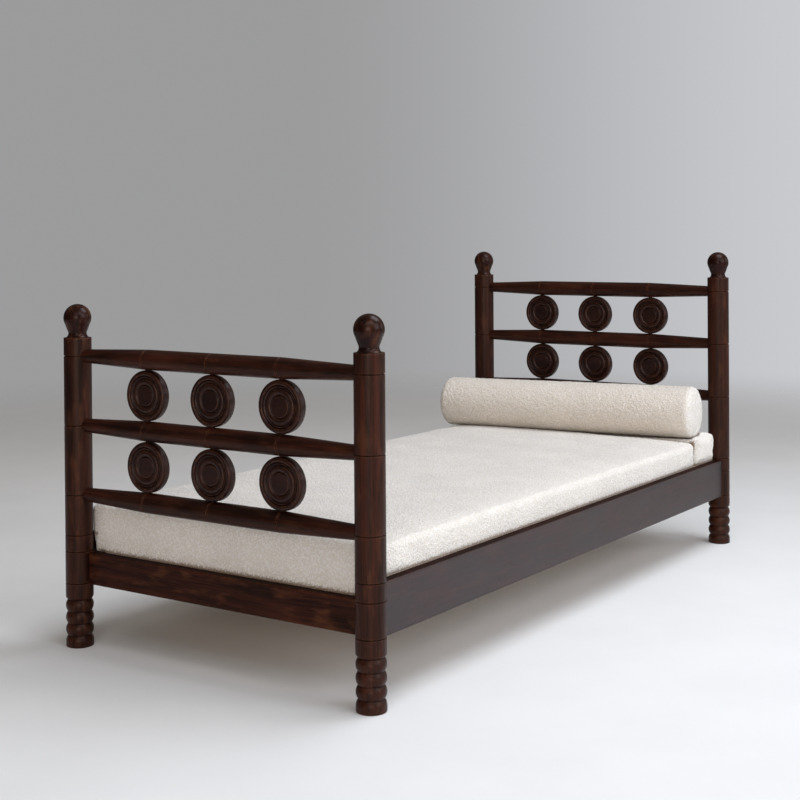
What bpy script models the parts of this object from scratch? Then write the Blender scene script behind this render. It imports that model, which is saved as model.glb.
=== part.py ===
"""Turned wooden daybed with a slatted base, a mattress, a head cushion and a bolster.

Metres, +Z up, +Y towards the head. The origin is on the floor at the middle of the bed.
"""

import math

import bmesh
import bpy

# Gap kept between pieces that touch
CLEARANCE = 0.0003

# Cushions
MATTRESS_WIDTH = 0.901
MATTRESS_LENGTH = 1.7945
MATTRESS_HEIGHT = 0.126
HEAD_CUSHION_LENGTH = 0.147
HEAD_CUSHION_RISE = 0.005
CUSHION_SEAM = 0.0015
CUSHION_EDGE = 0.018
CUSHION_CROWN = 0.005
CROWN_POWER = 4
CUSHION_DRAW = 0.004
BOLSTER_LENGTH = 0.936
BOLSTER_RADIUS = 0.0890
BOLSTER_EDGE = 0.034
BOLSTER_DOME = 0.008
BOLSTER_FLAT = 0.0085
BOLSTER_SETBACK = 0.003
BOLSTER_SHIFT = -0.0245
BOLSTER_TURN = math.radians(5.5)

# Boards and slatted base
SIDE_GAP = 0.002
END_GAP = 0.010
BOARD_BOTTOM = 0.1605
SIDE_BOARD_HEIGHT = 0.121
SIDE_BOARD_THICKNESS = 0.027
SIDE_BOARD_OFFSET = 0.021
SIDE_TENON_DEPTH = 0.013
END_BOARD_HEIGHT = 0.0790
END_BOARD_THICKNESS = 0.027
END_TENON_DEPTH = 0.015
BOARD_EASE = 0.0018
LEDGER_RISE = 0.0315
LEDGER_HEIGHT = 0.025
LEDGER_WIDTH = 0.025
LEDGER_POCKET_GAP = 0.004
SLAT_COUNT = 13
SLAT_WIDTH = 0.080
SLAT_THICKNESS = 0.018
SLAT_EASE = 0.001

# Posts
POST_RADIUS = 0.035
FOOT_EDGE = 0.0022
FOOT_BEADS = 4
LOWEST_BEAD = 0.0275
BEAD_HEIGHT = 0.0313
COVE_DEPTH = 0.0045
COVE_HALF_WIDTH = 0.0055
RING_DEPTH = 0.0020
RING_HALF_WIDTH = 0.0015
LOW_RING_LIFT = 0.0032
BOARD_RING_LIFT = 0.0050
POST_TOP_MARGIN = 0.0465
POST_TOP_EASE = 0.0010

# Turned rails
LOWEST_FOOT_RAIL = 0.389
HEAD_RISE = 0.1035
RAIL_COUNT = 3
RAIL_RADIUS = 0.02515
RAIL_END_RADIUS = 0.0175
RAIL_SOCKET_DEPTH = 0.016
RAIL_RING_DEPTH = 0.0013
RAIL_RING_HALF_WIDTH = 0.0013

# Ringed discs, each between two rails on a pair of pegs
DISC_RADIUS = 0.0627
DISC_REVEAL = 0.0004
DISC_SPACING = 0.212
DISC_COLUMNS = (-1, 0, 1)
DISC_RIM_THICKNESS = 0.026
DISC_EDGE_THICKNESS = 0.013
DISC_CENTRE_THICKNESS = 0.021
DISC_CENTRE_RADIUS = 0.027
DISC_BEAD_THICKNESS = 0.025
DISC_BEAD_RADIUS = 0.0364
DISC_GROOVE_THICKNESS = 0.020
DISC_GROOVE_RADIUS = 0.0447
DISC_RIM_INNER_RADIUS = 0.0499
DISC_RIM_OUTER_RADIUS = 0.0582
PEG_RADIUS = 0.006
PEG_TENON = 0.012

# Finials
BALL_RADIUS = 0.035
BALL_RISE = 0.0505
BALL_CUT = 0.020
NECK_RISE = 0.0115
NECK_RADIUS = 0.0218
THROAT_RISE = 0.0200
THROAT_RADIUS = 0.0242
FINIAL_BASE_RADIUS = 0.027
FINIAL_BASE_HEIGHT = 0.0015
SPIGOT_RADIUS = 0.010
SPIGOT_LENGTH = 0.028

# Rail bolts that hold the side boards
STUD_RADIUS = 0.004
STUD_EMBED = 0.030
STUD_REACH = 0.046
STUD_SPARE = 0.004
STUD_INSET = 0.0115
NUT_ACROSS_FLATS = 0.013
NUT_THICKNESS = 0.0065
NUT_ROOM = 0.0008
SPANNER_ROOM = 0.018

# Faces round each turned piece, and cells of the cushions along X, Y and Z
POST_SIDES = 14
RAIL_SIDES = 10
DISC_SIDES = 14
PEG_SIDES = 6
STUD_SIDES = 8
NUT_SIDES = 6
BOLSTER_SIDES = 20
BALL_ARCS = 5
BOLSTER_EDGE_ARCS = 3
MATTRESS_CELLS = (6, 12, 2)
HEAD_CUSHION_CELLS = (6, 2, 2)

# Cutters run this far past the faces that they open
CUT_PAST = 0.010

# Points nearer than this are one, and edges flatter than this are shaded smooth
WELD_DISTANCE = 0.00002
SMOOTH_ANGLE = math.radians(35)

# Places worked out from the sizes
INNER_HALF_WIDTH = MATTRESS_WIDTH / 2 + SIDE_GAP
SIDE_OUTER = INNER_HALF_WIDTH + SIDE_BOARD_THICKNESS
POST_X = SIDE_OUTER - SIDE_BOARD_OFFSET
HEAD_CUSHION_HEIGHT = MATTRESS_HEIGHT + HEAD_CUSHION_RISE
CUSHION_RUN = MATTRESS_LENGTH + CUSHION_SEAM + HEAD_CUSHION_LENGTH
INNER_HALF_LENGTH = CUSHION_RUN / 2 + END_GAP
POST_Y = INNER_HALF_LENGTH + END_BOARD_THICKNESS
SIDE_TOP = BOARD_BOTTOM + SIDE_BOARD_HEIGHT
END_TOP = BOARD_BOTTOM + END_BOARD_HEIGHT
SIDE_FLOOR = POST_RADIUS - SIDE_TENON_DEPTH
END_FLOOR = POST_RADIUS - END_TENON_DEPTH
RAIL_FLOOR = POST_RADIUS - RAIL_SOCKET_DEPTH
RAIL_PITCH = 2 * (RAIL_RADIUS + DISC_REVEAL + DISC_RADIUS)
LEDGER_BOTTOM = BOARD_BOTTOM + LEDGER_RISE
SLAT_BOTTOM = LEDGER_BOTTOM + LEDGER_HEIGHT + CLEARANCE
MATTRESS_BOTTOM = SLAT_BOTTOM + SLAT_THICKNESS + CLEARANCE
SEAM_Y = -CUSHION_RUN / 2 + MATTRESS_LENGTH + CUSHION_SEAM / 2
STUD_X = INNER_HALF_WIDTH + STUD_INSET
STUD_Z = BOARD_BOTTOM + SIDE_BOARD_HEIGHT / 2
BOARD_END_Y = POST_Y - SIDE_FLOOR - CLEARANCE
NUT_SEAT_Y = BOARD_END_Y - STUD_REACH
NUT_CORNER_RADIUS = NUT_ACROSS_FLATS / math.sqrt(3)
NUT_HALF = NUT_CORNER_RADIUS + NUT_ROOM
POCKET_LENGTH = NUT_THICKNESS + STUD_SPARE + SPANNER_ROOM
LEDGER_HALF_LENGTH = NUT_SEAT_Y - POCKET_LENGTH - LEDGER_POCKET_GAP

# Finishes: base colour, roughness, metallic
STAINED_WOOD = ((0.052, 0.021, 0.013), 0.38, 0.0)
SLAT_WOOD = ((0.48, 0.33, 0.19), 0.6, 0.0)
STEEL = ((0.42, 0.42, 0.43), 0.35, 1.0)
LOOPED_CLOTH = ((0.80, 0.77, 0.70), 0.95, 0.0)


def clear_scene():
    """Remove every object, so that the bed is alone."""
    for old in list(bpy.data.objects):
        bpy.data.objects.remove(old, do_unlink=True)


def add_object(name, bm, place=(0, 0, 0), turn=(0, 0, 0), parent=None):
    """Turn a bmesh into a placed object."""
    mesh = bpy.data.meshes.new(name)
    bm.to_mesh(mesh)
    bm.free()
    obj = bpy.data.objects.new(name, mesh)
    obj.location = place
    obj.rotation_euler = turn
    obj.parent = parent
    bpy.context.scene.collection.objects.link(obj)
    return obj


def finish(obj, look, smooth=False):
    """Give a piece its own material and its shading."""
    colour, roughness, metallic = look
    material = bpy.data.materials.new(obj.name + "_finish")
    material.use_nodes = True
    shader = material.node_tree.nodes["Principled BSDF"]
    shader.inputs["Base Color"].default_value = (*colour, 1.0)
    shader.inputs["Roughness"].default_value = roughness
    shader.inputs["Metallic"].default_value = metallic
    obj.data.materials.append(material)
    if smooth:
        obj.data.shade_smooth()
        obj.data.set_sharp_from_angle(angle=SMOOTH_ANGLE)
    return obj


def helper(obj):
    """Mark a cutter or a peg that is joined to another piece, which isn't a piece by itself."""
    obj.hide_render = True
    obj.display_type = "WIRE"
    return obj


def boolean(obj, other, operation="DIFFERENCE"):
    """Cut or join another object."""
    modifier = obj.modifiers.new(other.name, "BOOLEAN")
    modifier.operation = operation
    modifier.solver = "EXACT"
    modifier.object = other


def turned(profile, sides, axis=2):
    """Spin a profile of (radius, height) points, from the axis and back to it, about X, Y or Z."""
    bm = bmesh.new()
    half_side = math.pi / sides
    across, aside = math.cos(half_side), math.sin(half_side)
    points = [bm.verts.new((across * r, aside * r, height)) for r, height in profile]
    edges = [bm.edges.new(pair) for pair in zip(points, points[1:])]
    bmesh.ops.spin(
        bm, geom=points + edges, cent=(0, 0, 0), axis=(0, 0, 1), angle=2 * math.pi, steps=sides
    )
    bmesh.ops.remove_doubles(bm, verts=bm.verts, dist=WELD_DISTANCE)
    for vert in bm.verts:
        x, y, z = vert.co
        vert.co = ((z, x, y), (y, z, x), (x, y, z))[axis]
    bmesh.ops.recalc_face_normals(bm, faces=bm.faces)
    return bm


def add_box(bm, low, high):
    """Add a closed box between two corners."""
    low, high = [min(a, b) for a, b in zip(low, high)], [max(a, b) for a, b in zip(low, high)]
    corners = bmesh.ops.create_cube(bm, size=1)["verts"]
    for corner in corners:
        corner.co = [a + (b - a) * (c + 0.5) for a, b, c in zip(low, high, corner.co)]
    return bm


def add_rod(bm, start, end, radius, sides):
    """Add a closed round rod between two points on a line along X, Y or Z."""
    axis = max(range(3), key=lambda i: abs(end[i] - start[i]))
    profile = [(0, start[axis]), (radius, start[axis]), (radius, end[axis]), (0, end[axis])]
    rod = turned(profile, sides, axis)
    middle = [0 if i == axis else start[i] for i in range(3)]
    bmesh.ops.translate(rod, verts=rod.verts, vec=middle)
    spare = bpy.data.meshes.new("rod")
    rod.to_mesh(spare)
    rod.free()
    bm.from_mesh(spare)
    bpy.data.meshes.remove(spare)
    return bm


def rod_mesh(start, end, radius, sides):
    """A closed round rod by itself."""
    return add_rod(bmesh.new(), start, end, radius, sides)


def eased_box(name, low, high, ease, look):
    """A board with small bevels along its edges."""
    middle = [(a + b) / 2 for a, b in zip(low, high)]
    half = [abs(b - a) / 2 for a, b in zip(low, high)]
    bm = add_box(bmesh.new(), [-h for h in half], half)
    obj = add_object(name, bm, middle)
    bevel = obj.modifiers.new("eased_edges", "BEVEL")
    bevel.width = ease
    bevel.segments = 1
    return finish(obj, look)


def ring_cut(height, radius, depth, half_width):
    """The three points of a V-shaped ring cut into a turned piece, from its top."""
    return [(radius, height + half_width), (radius - depth, height), (radius, height - half_width)]


def rail_heights(rise):
    """Heights of the rail axes, lowest first."""
    return [LOWEST_FOOT_RAIL + rise + RAIL_PITCH * i for i in range(RAIL_COUNT)]


def post_top(rise):
    """Height of a post's top face."""
    return rail_heights(rise)[-1] + POST_TOP_MARGIN


def post_profile(rise):
    """A post from its drilled top to its beaded foot."""
    top = post_top(rise)
    bore = SPIGOT_RADIUS + CLEARANCE
    points = [
        (0, top - SPIGOT_LENGTH - CLEARANCE),
        (bore, top - SPIGOT_LENGTH - CLEARANCE),
        (bore, top),
        (POST_RADIUS - POST_TOP_EASE, top),
        (POST_RADIUS, top - POST_TOP_EASE),
    ]
    rings = [height + BOARD_RING_LIFT for height in (END_TOP, SIDE_TOP)]
    rings += [BOARD_BOTTOM + LOW_RING_LIFT, *rail_heights(rise)]
    for height in sorted(rings, reverse=True):
        points += ring_cut(height, POST_RADIUS, RING_DEPTH, RING_HALF_WIDTH)
    for bead in reversed(range(FOOT_BEADS)):
        cove = LOWEST_BEAD + BEAD_HEIGHT * bead
        points += ring_cut(cove, POST_RADIUS, COVE_DEPTH, COVE_HALF_WIDTH)
    points += [(POST_RADIUS, FOOT_EDGE), (POST_RADIUS - FOOT_EDGE, 0), (0, 0)]
    return points


def finial_profile():
    """A ball on a turned neck, with a spigot below; height 0 is the top of the post."""
    points = []
    low = -math.asin(BALL_CUT / BALL_RADIUS)
    for i in range(BALL_ARCS + 1):
        angle = math.pi / 2 + (low - math.pi / 2) * i / BALL_ARCS
        radius = 0 if i == 0 else BALL_RADIUS * math.cos(angle)
        points.append((radius, BALL_RISE + BALL_RADIUS * math.sin(angle)))
    return points + [
        (THROAT_RADIUS, THROAT_RISE),
        (NECK_RADIUS, NECK_RISE),
        (FINIAL_BASE_RADIUS, FINIAL_BASE_HEIGHT + CLEARANCE),
        (FINIAL_BASE_RADIUS, CLEARANCE),
        (SPIGOT_RADIUS, CLEARANCE),
        (SPIGOT_RADIUS, -SPIGOT_LENGTH),
        (0, -SPIGOT_LENGTH),
    ]


def rail_profile():
    """A rail that tapers from the outer rings to the posts; its length is along Z."""
    half = POST_X - RAIL_FLOOR - CLEARANCE
    taper_end = POST_X - POST_RADIUS
    points = [(0, half), (RAIL_END_RADIUS, half), (RAIL_END_RADIUS, taper_end)]
    for column in reversed(DISC_COLUMNS):
        place = column * DISC_SPACING
        points += ring_cut(place, RAIL_RADIUS, RAIL_RING_DEPTH, RAIL_RING_HALF_WIDTH)
    return points + [(RAIL_END_RADIUS, -taper_end), (RAIL_END_RADIUS, -half), (0, -half)]


def disc_profile():
    """Both turned faces of a disc: a rim, a groove, a bead and a sunk middle."""
    face = [
        (0, DISC_CENTRE_THICKNESS / 2),
        (DISC_CENTRE_RADIUS, DISC_CENTRE_THICKNESS / 2),
        (DISC_BEAD_RADIUS, DISC_BEAD_THICKNESS / 2),
        (DISC_GROOVE_RADIUS, DISC_GROOVE_THICKNESS / 2),
        (DISC_RIM_INNER_RADIUS, DISC_RIM_THICKNESS / 2),
        (DISC_RIM_OUTER_RADIUS, DISC_RIM_THICKNESS / 2),
        (DISC_RADIUS, DISC_EDGE_THICKNESS / 2),
    ]
    return face + [(radius, -height) for radius, height in reversed(face)]


def post_cutters(name, side, rise, parent):
    """Sockets for the rails, housings for both boards, and the bore for the rail bolt."""
    bm = bmesh.new()
    inner_face = side * (POST_X - POST_RADIUS - CUT_PAST)
    for height in rail_heights(rise):
        floor = (side * (POST_X - RAIL_FLOOR), 0, height)
        add_rod(bm, floor, (inner_face, 0, height), RAIL_END_RADIUS + CLEARANCE, RAIL_SIDES)
    add_box(
        bm,
        (side * (POST_X - END_FLOOR), -END_BOARD_THICKNESS - CLEARANCE, BOARD_BOTTOM - CLEARANCE),
        (inner_face, CLEARANCE, END_TOP + CLEARANCE),
    )
    add_box(
        bm,
        (side * (INNER_HALF_WIDTH - CLEARANCE), -SIDE_FLOOR, BOARD_BOTTOM - CLEARANCE),
        (side * (SIDE_OUTER + CLEARANCE), -POST_RADIUS - CUT_PAST, SIDE_TOP + CLEARANCE),
    )
    sockets = helper(add_object(name + "_sockets", bm, parent=parent))
    bore = rod_mesh(
        (side * STUD_X, STUD_EMBED + CLEARANCE - SIDE_FLOOR, STUD_Z),
        (side * STUD_X, -POST_RADIUS - CUT_PAST, STUD_Z),
        STUD_RADIUS + CLEARANCE,
        STUD_SIDES,
    )
    return sockets, helper(add_object(name + "_bore", bore, parent=parent))


def build_post(label, side, rise, parent):
    """One post with its finial and the rail bolt that is screwed into it."""
    name = "post_" + label
    bm = turned(post_profile(rise), POST_SIDES)
    bmesh.ops.translate(bm, verts=bm.verts, vec=(side * POST_X, 0, 0))
    post = finish(add_object(name, bm, parent=parent), STAINED_WOOD, smooth=True)
    for cutter in post_cutters(name, side, rise, parent):
        boolean(post, cutter)
    ball = turned(finial_profile(), POST_SIDES)
    finial = add_object("finial_" + label, ball, (side * POST_X, 0, post_top(rise)), parent=parent)
    finish(finial, STAINED_WOOD, smooth=True)
    stud_end = NUT_SEAT_Y - NUT_THICKNESS - STUD_SPARE - POST_Y
    stud = rod_mesh(
        (side * STUD_X, STUD_EMBED - SIDE_FLOOR, STUD_Z),
        (side * STUD_X, stud_end, STUD_Z),
        STUD_RADIUS,
        STUD_SIDES,
    )
    finish(add_object("rail_bolt_" + label, stud, parent=parent), STEEL, smooth=True)
    build_nut(label, side, parent)


def build_nut(label, side, parent):
    """A hexagon nut against the wall of its pocket in the side board."""
    seat = NUT_SEAT_Y - CLEARANCE - POST_Y
    back = seat - NUT_THICKNESS
    bm = rod_mesh(
        (side * STUD_X, seat, STUD_Z), (side * STUD_X, back, STUD_Z), NUT_CORNER_RADIUS, NUT_SIDES
    )
    nut = finish(add_object("rail_nut_" + label, bm, parent=parent), STEEL)
    thread = rod_mesh(
        (side * STUD_X, seat + CUT_PAST, STUD_Z),
        (side * STUD_X, back - CUT_PAST, STUD_Z),
        STUD_RADIUS + CLEARANCE,
        STUD_SIDES,
    )
    boolean(nut, helper(add_object("rail_nut_%s_thread" % label, thread, parent=parent)))


def build_rail(name, level, height, parent):
    """One turned rail, drilled for the pegs of the discs above and below it."""
    bm = turned(rail_profile(), RAIL_SIDES, axis=0)
    rail = add_object(name, bm, (0, 0, height), parent=parent)
    finish(rail, STAINED_WOOD, smooth=True)
    bm = bmesh.new()
    depth = RAIL_RADIUS - PEG_TENON - CLEARANCE
    for column in DISC_COLUMNS:
        for facing in (-1, 1):
            if 0 <= level + (facing - 1) // 2 < RAIL_COUNT - 1:
                place = column * DISC_SPACING
                floor = (place, 0, height + facing * depth)
                mouth = (place, 0, height + facing * (RAIL_RADIUS + CUT_PAST))
                add_rod(bm, floor, mouth, PEG_RADIUS + CLEARANCE, PEG_SIDES)
    boolean(rail, helper(add_object(name + "_peg_holes", bm, parent=parent)))


def build_disc(name, place, height, parent):
    """One ringed disc with the pegs that stand in the rails above and below."""
    bm = turned(disc_profile(), DISC_SIDES, axis=1)
    disc = add_object(name, bm, (place, 0, height), parent=parent)
    finish(disc, STAINED_WOOD, smooth=True)
    reach = DISC_RADIUS + DISC_REVEAL + PEG_TENON
    pegs = rod_mesh((place, 0, height - reach), (place, 0, height + reach), PEG_RADIUS, PEG_SIDES)
    boolean(disc, helper(add_object(name + "_pegs", pegs, parent=parent)), "UNION")


def build_end(end, facing, rise):
    """The head or the foot: two posts, their rails and discs, and the low board between them."""
    parent = bpy.data.objects.new(end + "_end", None)
    parent.location = (0, facing * POST_Y, 0)
    parent.rotation_euler = (0, 0, 0 if facing > 0 else math.pi)
    bpy.context.scene.collection.objects.link(parent)
    sides = {"left": -facing, "right": facing}
    for label, side in sides.items():
        build_post("%s_%s" % (end, label), side, rise, parent)
    heights = rail_heights(rise)
    for level, height in enumerate(heights):
        build_rail("rail_%s_%d" % (end, level + 1), level, height, parent)
    for row, height in enumerate(heights[:-1]):
        middle = height + RAIL_PITCH / 2
        for count, column in enumerate(DISC_COLUMNS[::facing], start=1):
            number = row * len(DISC_COLUMNS) + count
            build_disc("disc_%s_%d" % (end, number), column * DISC_SPACING, middle, parent)
    half = POST_X - END_FLOOR - CLEARANCE
    board = eased_box(
        "end_board_" + end,
        (-half, -END_BOARD_THICKNESS, BOARD_BOTTOM),
        (half, 0, END_TOP),
        BOARD_EASE,
        STAINED_WOOD,
    )
    board.parent = parent


def build_side(label, side):
    """One side board, bored and pocketed for the rail bolts, and the ledger on its inner face."""
    board = eased_box(
        "side_board_" + label,
        (side * INNER_HALF_WIDTH, -BOARD_END_Y, BOARD_BOTTOM),
        (side * SIDE_OUTER, BOARD_END_Y, SIDE_TOP),
        BOARD_EASE,
        STAINED_WOOD,
    )
    bores = bmesh.new()
    pockets = bmesh.new()
    for end in (-1, 1):
        mouth = (side * STUD_X, end * (BOARD_END_Y + CUT_PAST), STUD_Z)
        inside = (side * STUD_X, end * (NUT_SEAT_Y - NUT_THICKNESS), STUD_Z)
        add_rod(bores, mouth, inside, STUD_RADIUS + CLEARANCE, STUD_SIDES)
        add_box(
            pockets,
            (side * (INNER_HALF_WIDTH - CUT_PAST), end * NUT_SEAT_Y, STUD_Z - NUT_HALF),
            (side * (STUD_X + NUT_HALF), end * (NUT_SEAT_Y - POCKET_LENGTH), STUD_Z + NUT_HALF),
        )
    for name, bm in (("bores", bores), ("pockets", pockets)):
        boolean(board, helper(add_object("side_board_%s_%s" % (label, name), bm)))
    outer = INNER_HALF_WIDTH - CLEARANCE
    eased_box(
        "ledger_" + label,
        (side * (outer - LEDGER_WIDTH), -LEDGER_HALF_LENGTH, LEDGER_BOTTOM),
        (side * outer, LEDGER_HALF_LENGTH, LEDGER_BOTTOM + LEDGER_HEIGHT),
        SLAT_EASE,
        SLAT_WOOD,
    )


def build_slats():
    """Slats laid across the ledgers at an even pitch, the end ones level with the ledgers' ends."""
    half = INNER_HALF_WIDTH - SIDE_GAP
    last = LEDGER_HALF_LENGTH - SLAT_WIDTH / 2
    for i in range(SLAT_COUNT):
        middle = last * (2 * i / (SLAT_COUNT - 1) - 1)
        eased_box(
            "slat_%02d" % (i + 1),
            (-half, middle - SLAT_WIDTH / 2, SLAT_BOTTOM),
            (half, middle + SLAT_WIDTH / 2, SLAT_BOTTOM + SLAT_THICKNESS),
            SLAT_EASE,
            SLAT_WOOD,
        )


def cushion_crown(x, y):
    """Rise of the two cushions' shared top above its outer edge."""
    across = 2 * x / MATTRESS_WIDTH
    along = 2 * y / CUSHION_RUN
    return CUSHION_CROWN * (1 - across**CROWN_POWER) * (1 - along**CROWN_POWER)


def build_cushion(name, start, length, height, cells):
    """A soft block with rounded edges, a crowned top and sides drawn in between its corners."""
    half = (MATTRESS_WIDTH / 2, length / 2, height / 2)
    rows = []
    for size, count in zip(half, cells):
        inner = size - CUSHION_EDGE
        rows.append([-size] + [inner * (2 * i / count - 1) for i in range(count + 1)] + [size])
    bm = bmesh.new()
    found = {}

    def corner(i, j, k):
        """The vertex of one grid place on the surface, rounded, crowned and drawn in."""
        if (i, j, k) in found:
            return found[i, j, k]
        flat = [rows[0][i], rows[1][j], rows[2][k]]
        core = [max(-h + CUSHION_EDGE, min(h - CUSHION_EDGE, p)) for p, h in zip(flat, half)]
        out = [p - c for p, c in zip(flat, core)]
        reach = math.sqrt(sum(o * o for o in out))
        x, y, z = (c + CUSHION_EDGE * o / reach for c, o in zip(core, out))
        u, v, w = x / half[0], y / half[1], z / half[2]
        lift = max(w, 0) * cushion_crown(x, start + half[1] + y)
        x -= u * abs(u) * CUSHION_DRAW * (1 - v * v)
        y -= v * abs(v) * CUSHION_DRAW * (1 - u * u)
        found[i, j, k] = bm.verts.new((x, y, z + half[2] + lift))
        return found[i, j, k]

    last = [len(row) - 1 for row in rows]
    for axis in range(3):
        first, second = (axis + 1) % 3, (axis + 2) % 3
        for end in (0, last[axis]):
            for a in range(last[first]):
                for b in range(last[second]):
                    loop = []
                    for da, db in ((0, 0), (1, 0), (1, 1), (0, 1)):
                        place = [0, 0, 0]
                        place[axis] = end
                        place[first] = a + da
                        place[second] = b + db
                        loop.append(corner(*place))
                    bm.faces.new(loop)
    bmesh.ops.recalc_face_normals(bm, faces=bm.faces)
    cushion = add_object(name, bm, (0, start + half[1], MATTRESS_BOTTOM))
    return finish(cushion, LOOPED_CLOTH, smooth=True)


def bolster_profile():
    """Half of a round bolster's outline: domed ends and softly rounded edges, along Z."""
    half = BOLSTER_LENGTH / 2
    points = [(0, half)]
    for i in range(BOLSTER_EDGE_ARCS + 1):
        angle = math.pi / 2 * (1 - i / BOLSTER_EDGE_ARCS)
        radius = BOLSTER_RADIUS - BOLSTER_EDGE * (1 - math.cos(angle))
        points.append((radius, half - BOLSTER_DOME - BOLSTER_EDGE * (1 - math.sin(angle))))
    return points + [(radius, -height) for radius, height in reversed(points)]


def build_bolster():
    """The bolster, flattened a little where it lies across the seam of the two cushions."""
    bm = turned(bolster_profile(), BOLSTER_SIDES, axis=0)
    seat = BOLSTER_FLAT - BOLSTER_RADIUS
    cut = bmesh.ops.bisect_plane(
        bm,
        geom=[*bm.verts, *bm.edges, *bm.faces],
        plane_co=(0, 0, seat),
        plane_no=(0, 0, 1),
        clear_inner=True,
    )
    rim = [item for item in cut["geom_cut"] if isinstance(item, bmesh.types.BMEdge)]
    bmesh.ops.contextual_create(bm, geom=rim)
    bmesh.ops.translate(bm, verts=bm.verts, vec=(0, 0, -seat))
    bmesh.ops.recalc_face_normals(bm, faces=bm.faces)
    place = (BOLSTER_SHIFT, SEAM_Y + BOLSTER_SETBACK, bolster_seat())
    bolster = add_object("bolster", bm, place, (0, 0, BOLSTER_TURN))
    return finish(bolster, LOOPED_CLOTH, smooth=True)


def bolster_seat():
    """Height of the bolster's flat, just clear of both cushions."""
    reach = math.sqrt(BOLSTER_RADIUS**2 - (BOLSTER_RADIUS - BOLSTER_FLAT) ** 2)
    near = SEAM_Y + BOLSTER_SETBACK - reach
    on_mattress = MATTRESS_HEIGHT + cushion_crown(0, near)
    on_head_cushion = HEAD_CUSHION_HEIGHT + cushion_crown(0, SEAM_Y)
    return MATTRESS_BOTTOM + max(on_mattress, on_head_cushion) + CLEARANCE


def main():
    """Build the whole bed."""
    clear_scene()
    build_end("foot", -1, 0)
    build_end("head", 1, HEAD_RISE)
    for label, side in (("left", -1), ("right", 1)):
        build_side(label, side)
    build_slats()
    head_start = SEAM_Y + CUSHION_SEAM / 2
    foot_start = -CUSHION_RUN / 2
    build_cushion("mattress", foot_start, MATTRESS_LENGTH, MATTRESS_HEIGHT, MATTRESS_CELLS)
    head_size = (HEAD_CUSHION_LENGTH, HEAD_CUSHION_HEIGHT)
    build_cushion("head_cushion", head_start, *head_size, HEAD_CUSHION_CELLS)
    build_bolster()


main()
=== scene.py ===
"""Looks of the turned wooden daybed: fine turned wood, looped cloth cushions and a plain stage.

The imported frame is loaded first, and every piece takes its place from it. Metres, +Z up, +Y to the head.
"""

import math

import bpy
import numpy as np
from mathutils import Matrix, Vector


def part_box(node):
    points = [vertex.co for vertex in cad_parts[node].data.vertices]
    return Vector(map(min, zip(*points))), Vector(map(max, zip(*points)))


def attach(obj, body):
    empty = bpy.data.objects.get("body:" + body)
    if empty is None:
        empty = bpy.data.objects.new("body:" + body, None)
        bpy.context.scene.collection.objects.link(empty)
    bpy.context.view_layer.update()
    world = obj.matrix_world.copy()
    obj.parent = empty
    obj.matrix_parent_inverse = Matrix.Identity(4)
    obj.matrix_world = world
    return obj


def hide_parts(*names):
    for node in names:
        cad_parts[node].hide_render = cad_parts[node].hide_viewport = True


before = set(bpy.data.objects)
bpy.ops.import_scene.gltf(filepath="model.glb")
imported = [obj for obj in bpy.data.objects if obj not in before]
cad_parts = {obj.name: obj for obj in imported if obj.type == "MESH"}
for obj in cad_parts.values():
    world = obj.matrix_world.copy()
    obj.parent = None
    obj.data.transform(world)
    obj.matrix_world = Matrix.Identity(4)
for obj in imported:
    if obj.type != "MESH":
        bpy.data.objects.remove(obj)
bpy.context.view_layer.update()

bl_info = {
    "name": "Turned Daybed",
    "version": (1, 0, 0),
    "blender": (4, 5, 0),
    "location": "3D View > Sidebar > Daybed",
    "description": "Dresses a turned wooden daybed in stained wood and looped cloth",
    "category": "Add Mesh",
}

ENDS = ("head", "foot")
SIDES = ("left", "right")
WELD_DISTANCE = 0.000002
SMOOTH_ANGLE = math.radians(32)
FULL_TURN = 2 * math.pi
BEAD_POWER = 2.1

# Steps of the round stretches
BEAD_STEPS = 9
FOOT_STEPS = 5
EASE_STEPS = 4
NECK_STEPS = 6
BALL_STEPS = 26
FACE_STEPS = 2
DOME_STEPS = 12
END_STEPS = 8
BOLSTER_SIDES = 64
FLOOR_SIDES = 96

# Segments of the boards' and the cushions' rounded edges, and the wide faces of a board
BOARD_SEGMENTS = 3
CUSHION_SEGMENTS = 4
BOARD_FACES = 6

# A cut ring's lip and floor as shares of its half width, and its turned-down edge as one of its depth
RING_LIP = 1.15
RING_FLOOR = 0.35
RING_EDGE = 0.12


# Places read from the frame


def middle(node):
    """The middle of a CAD node's box."""
    low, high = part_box(node)
    return (low + high) / 2


def span(node):
    """The size of a CAD node's box."""
    low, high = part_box(node)
    return high - low


def like_nodes(start):
    """The CAD nodes whose names start alike, in order."""
    return sorted(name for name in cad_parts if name.startswith(start))


# Settings


def length(label, about, default, **more):
    """A length that a user may change."""
    return bpy.props.FloatProperty(
        name=label, description=about, default=default, unit="LENGTH", precision=5, **more
    )


def count(label, about, default, low=1):
    """A whole number that a user may change."""
    return bpy.props.IntProperty(name=label, description=about, default=default, min=low)


def share(label, about, default, **more):
    """A plain number that a user may change."""
    return bpy.props.FloatProperty(name=label, description=about, default=default, **more)


def angle(label, about, degrees):
    """An angle that a user may change."""
    return share(label, about, math.radians(degrees), subtype="ANGLE")


def power(label, about, default):
    """A lamp's power that a user may change."""
    return share(label, about, default, unit="POWER")


def colour(label, about, default):
    """A linear colour that a user may change."""
    return bpy.props.FloatVectorProperty(
        name=label, description=about, default=default, subtype="COLOR", size=3, min=0, max=1
    )


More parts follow.
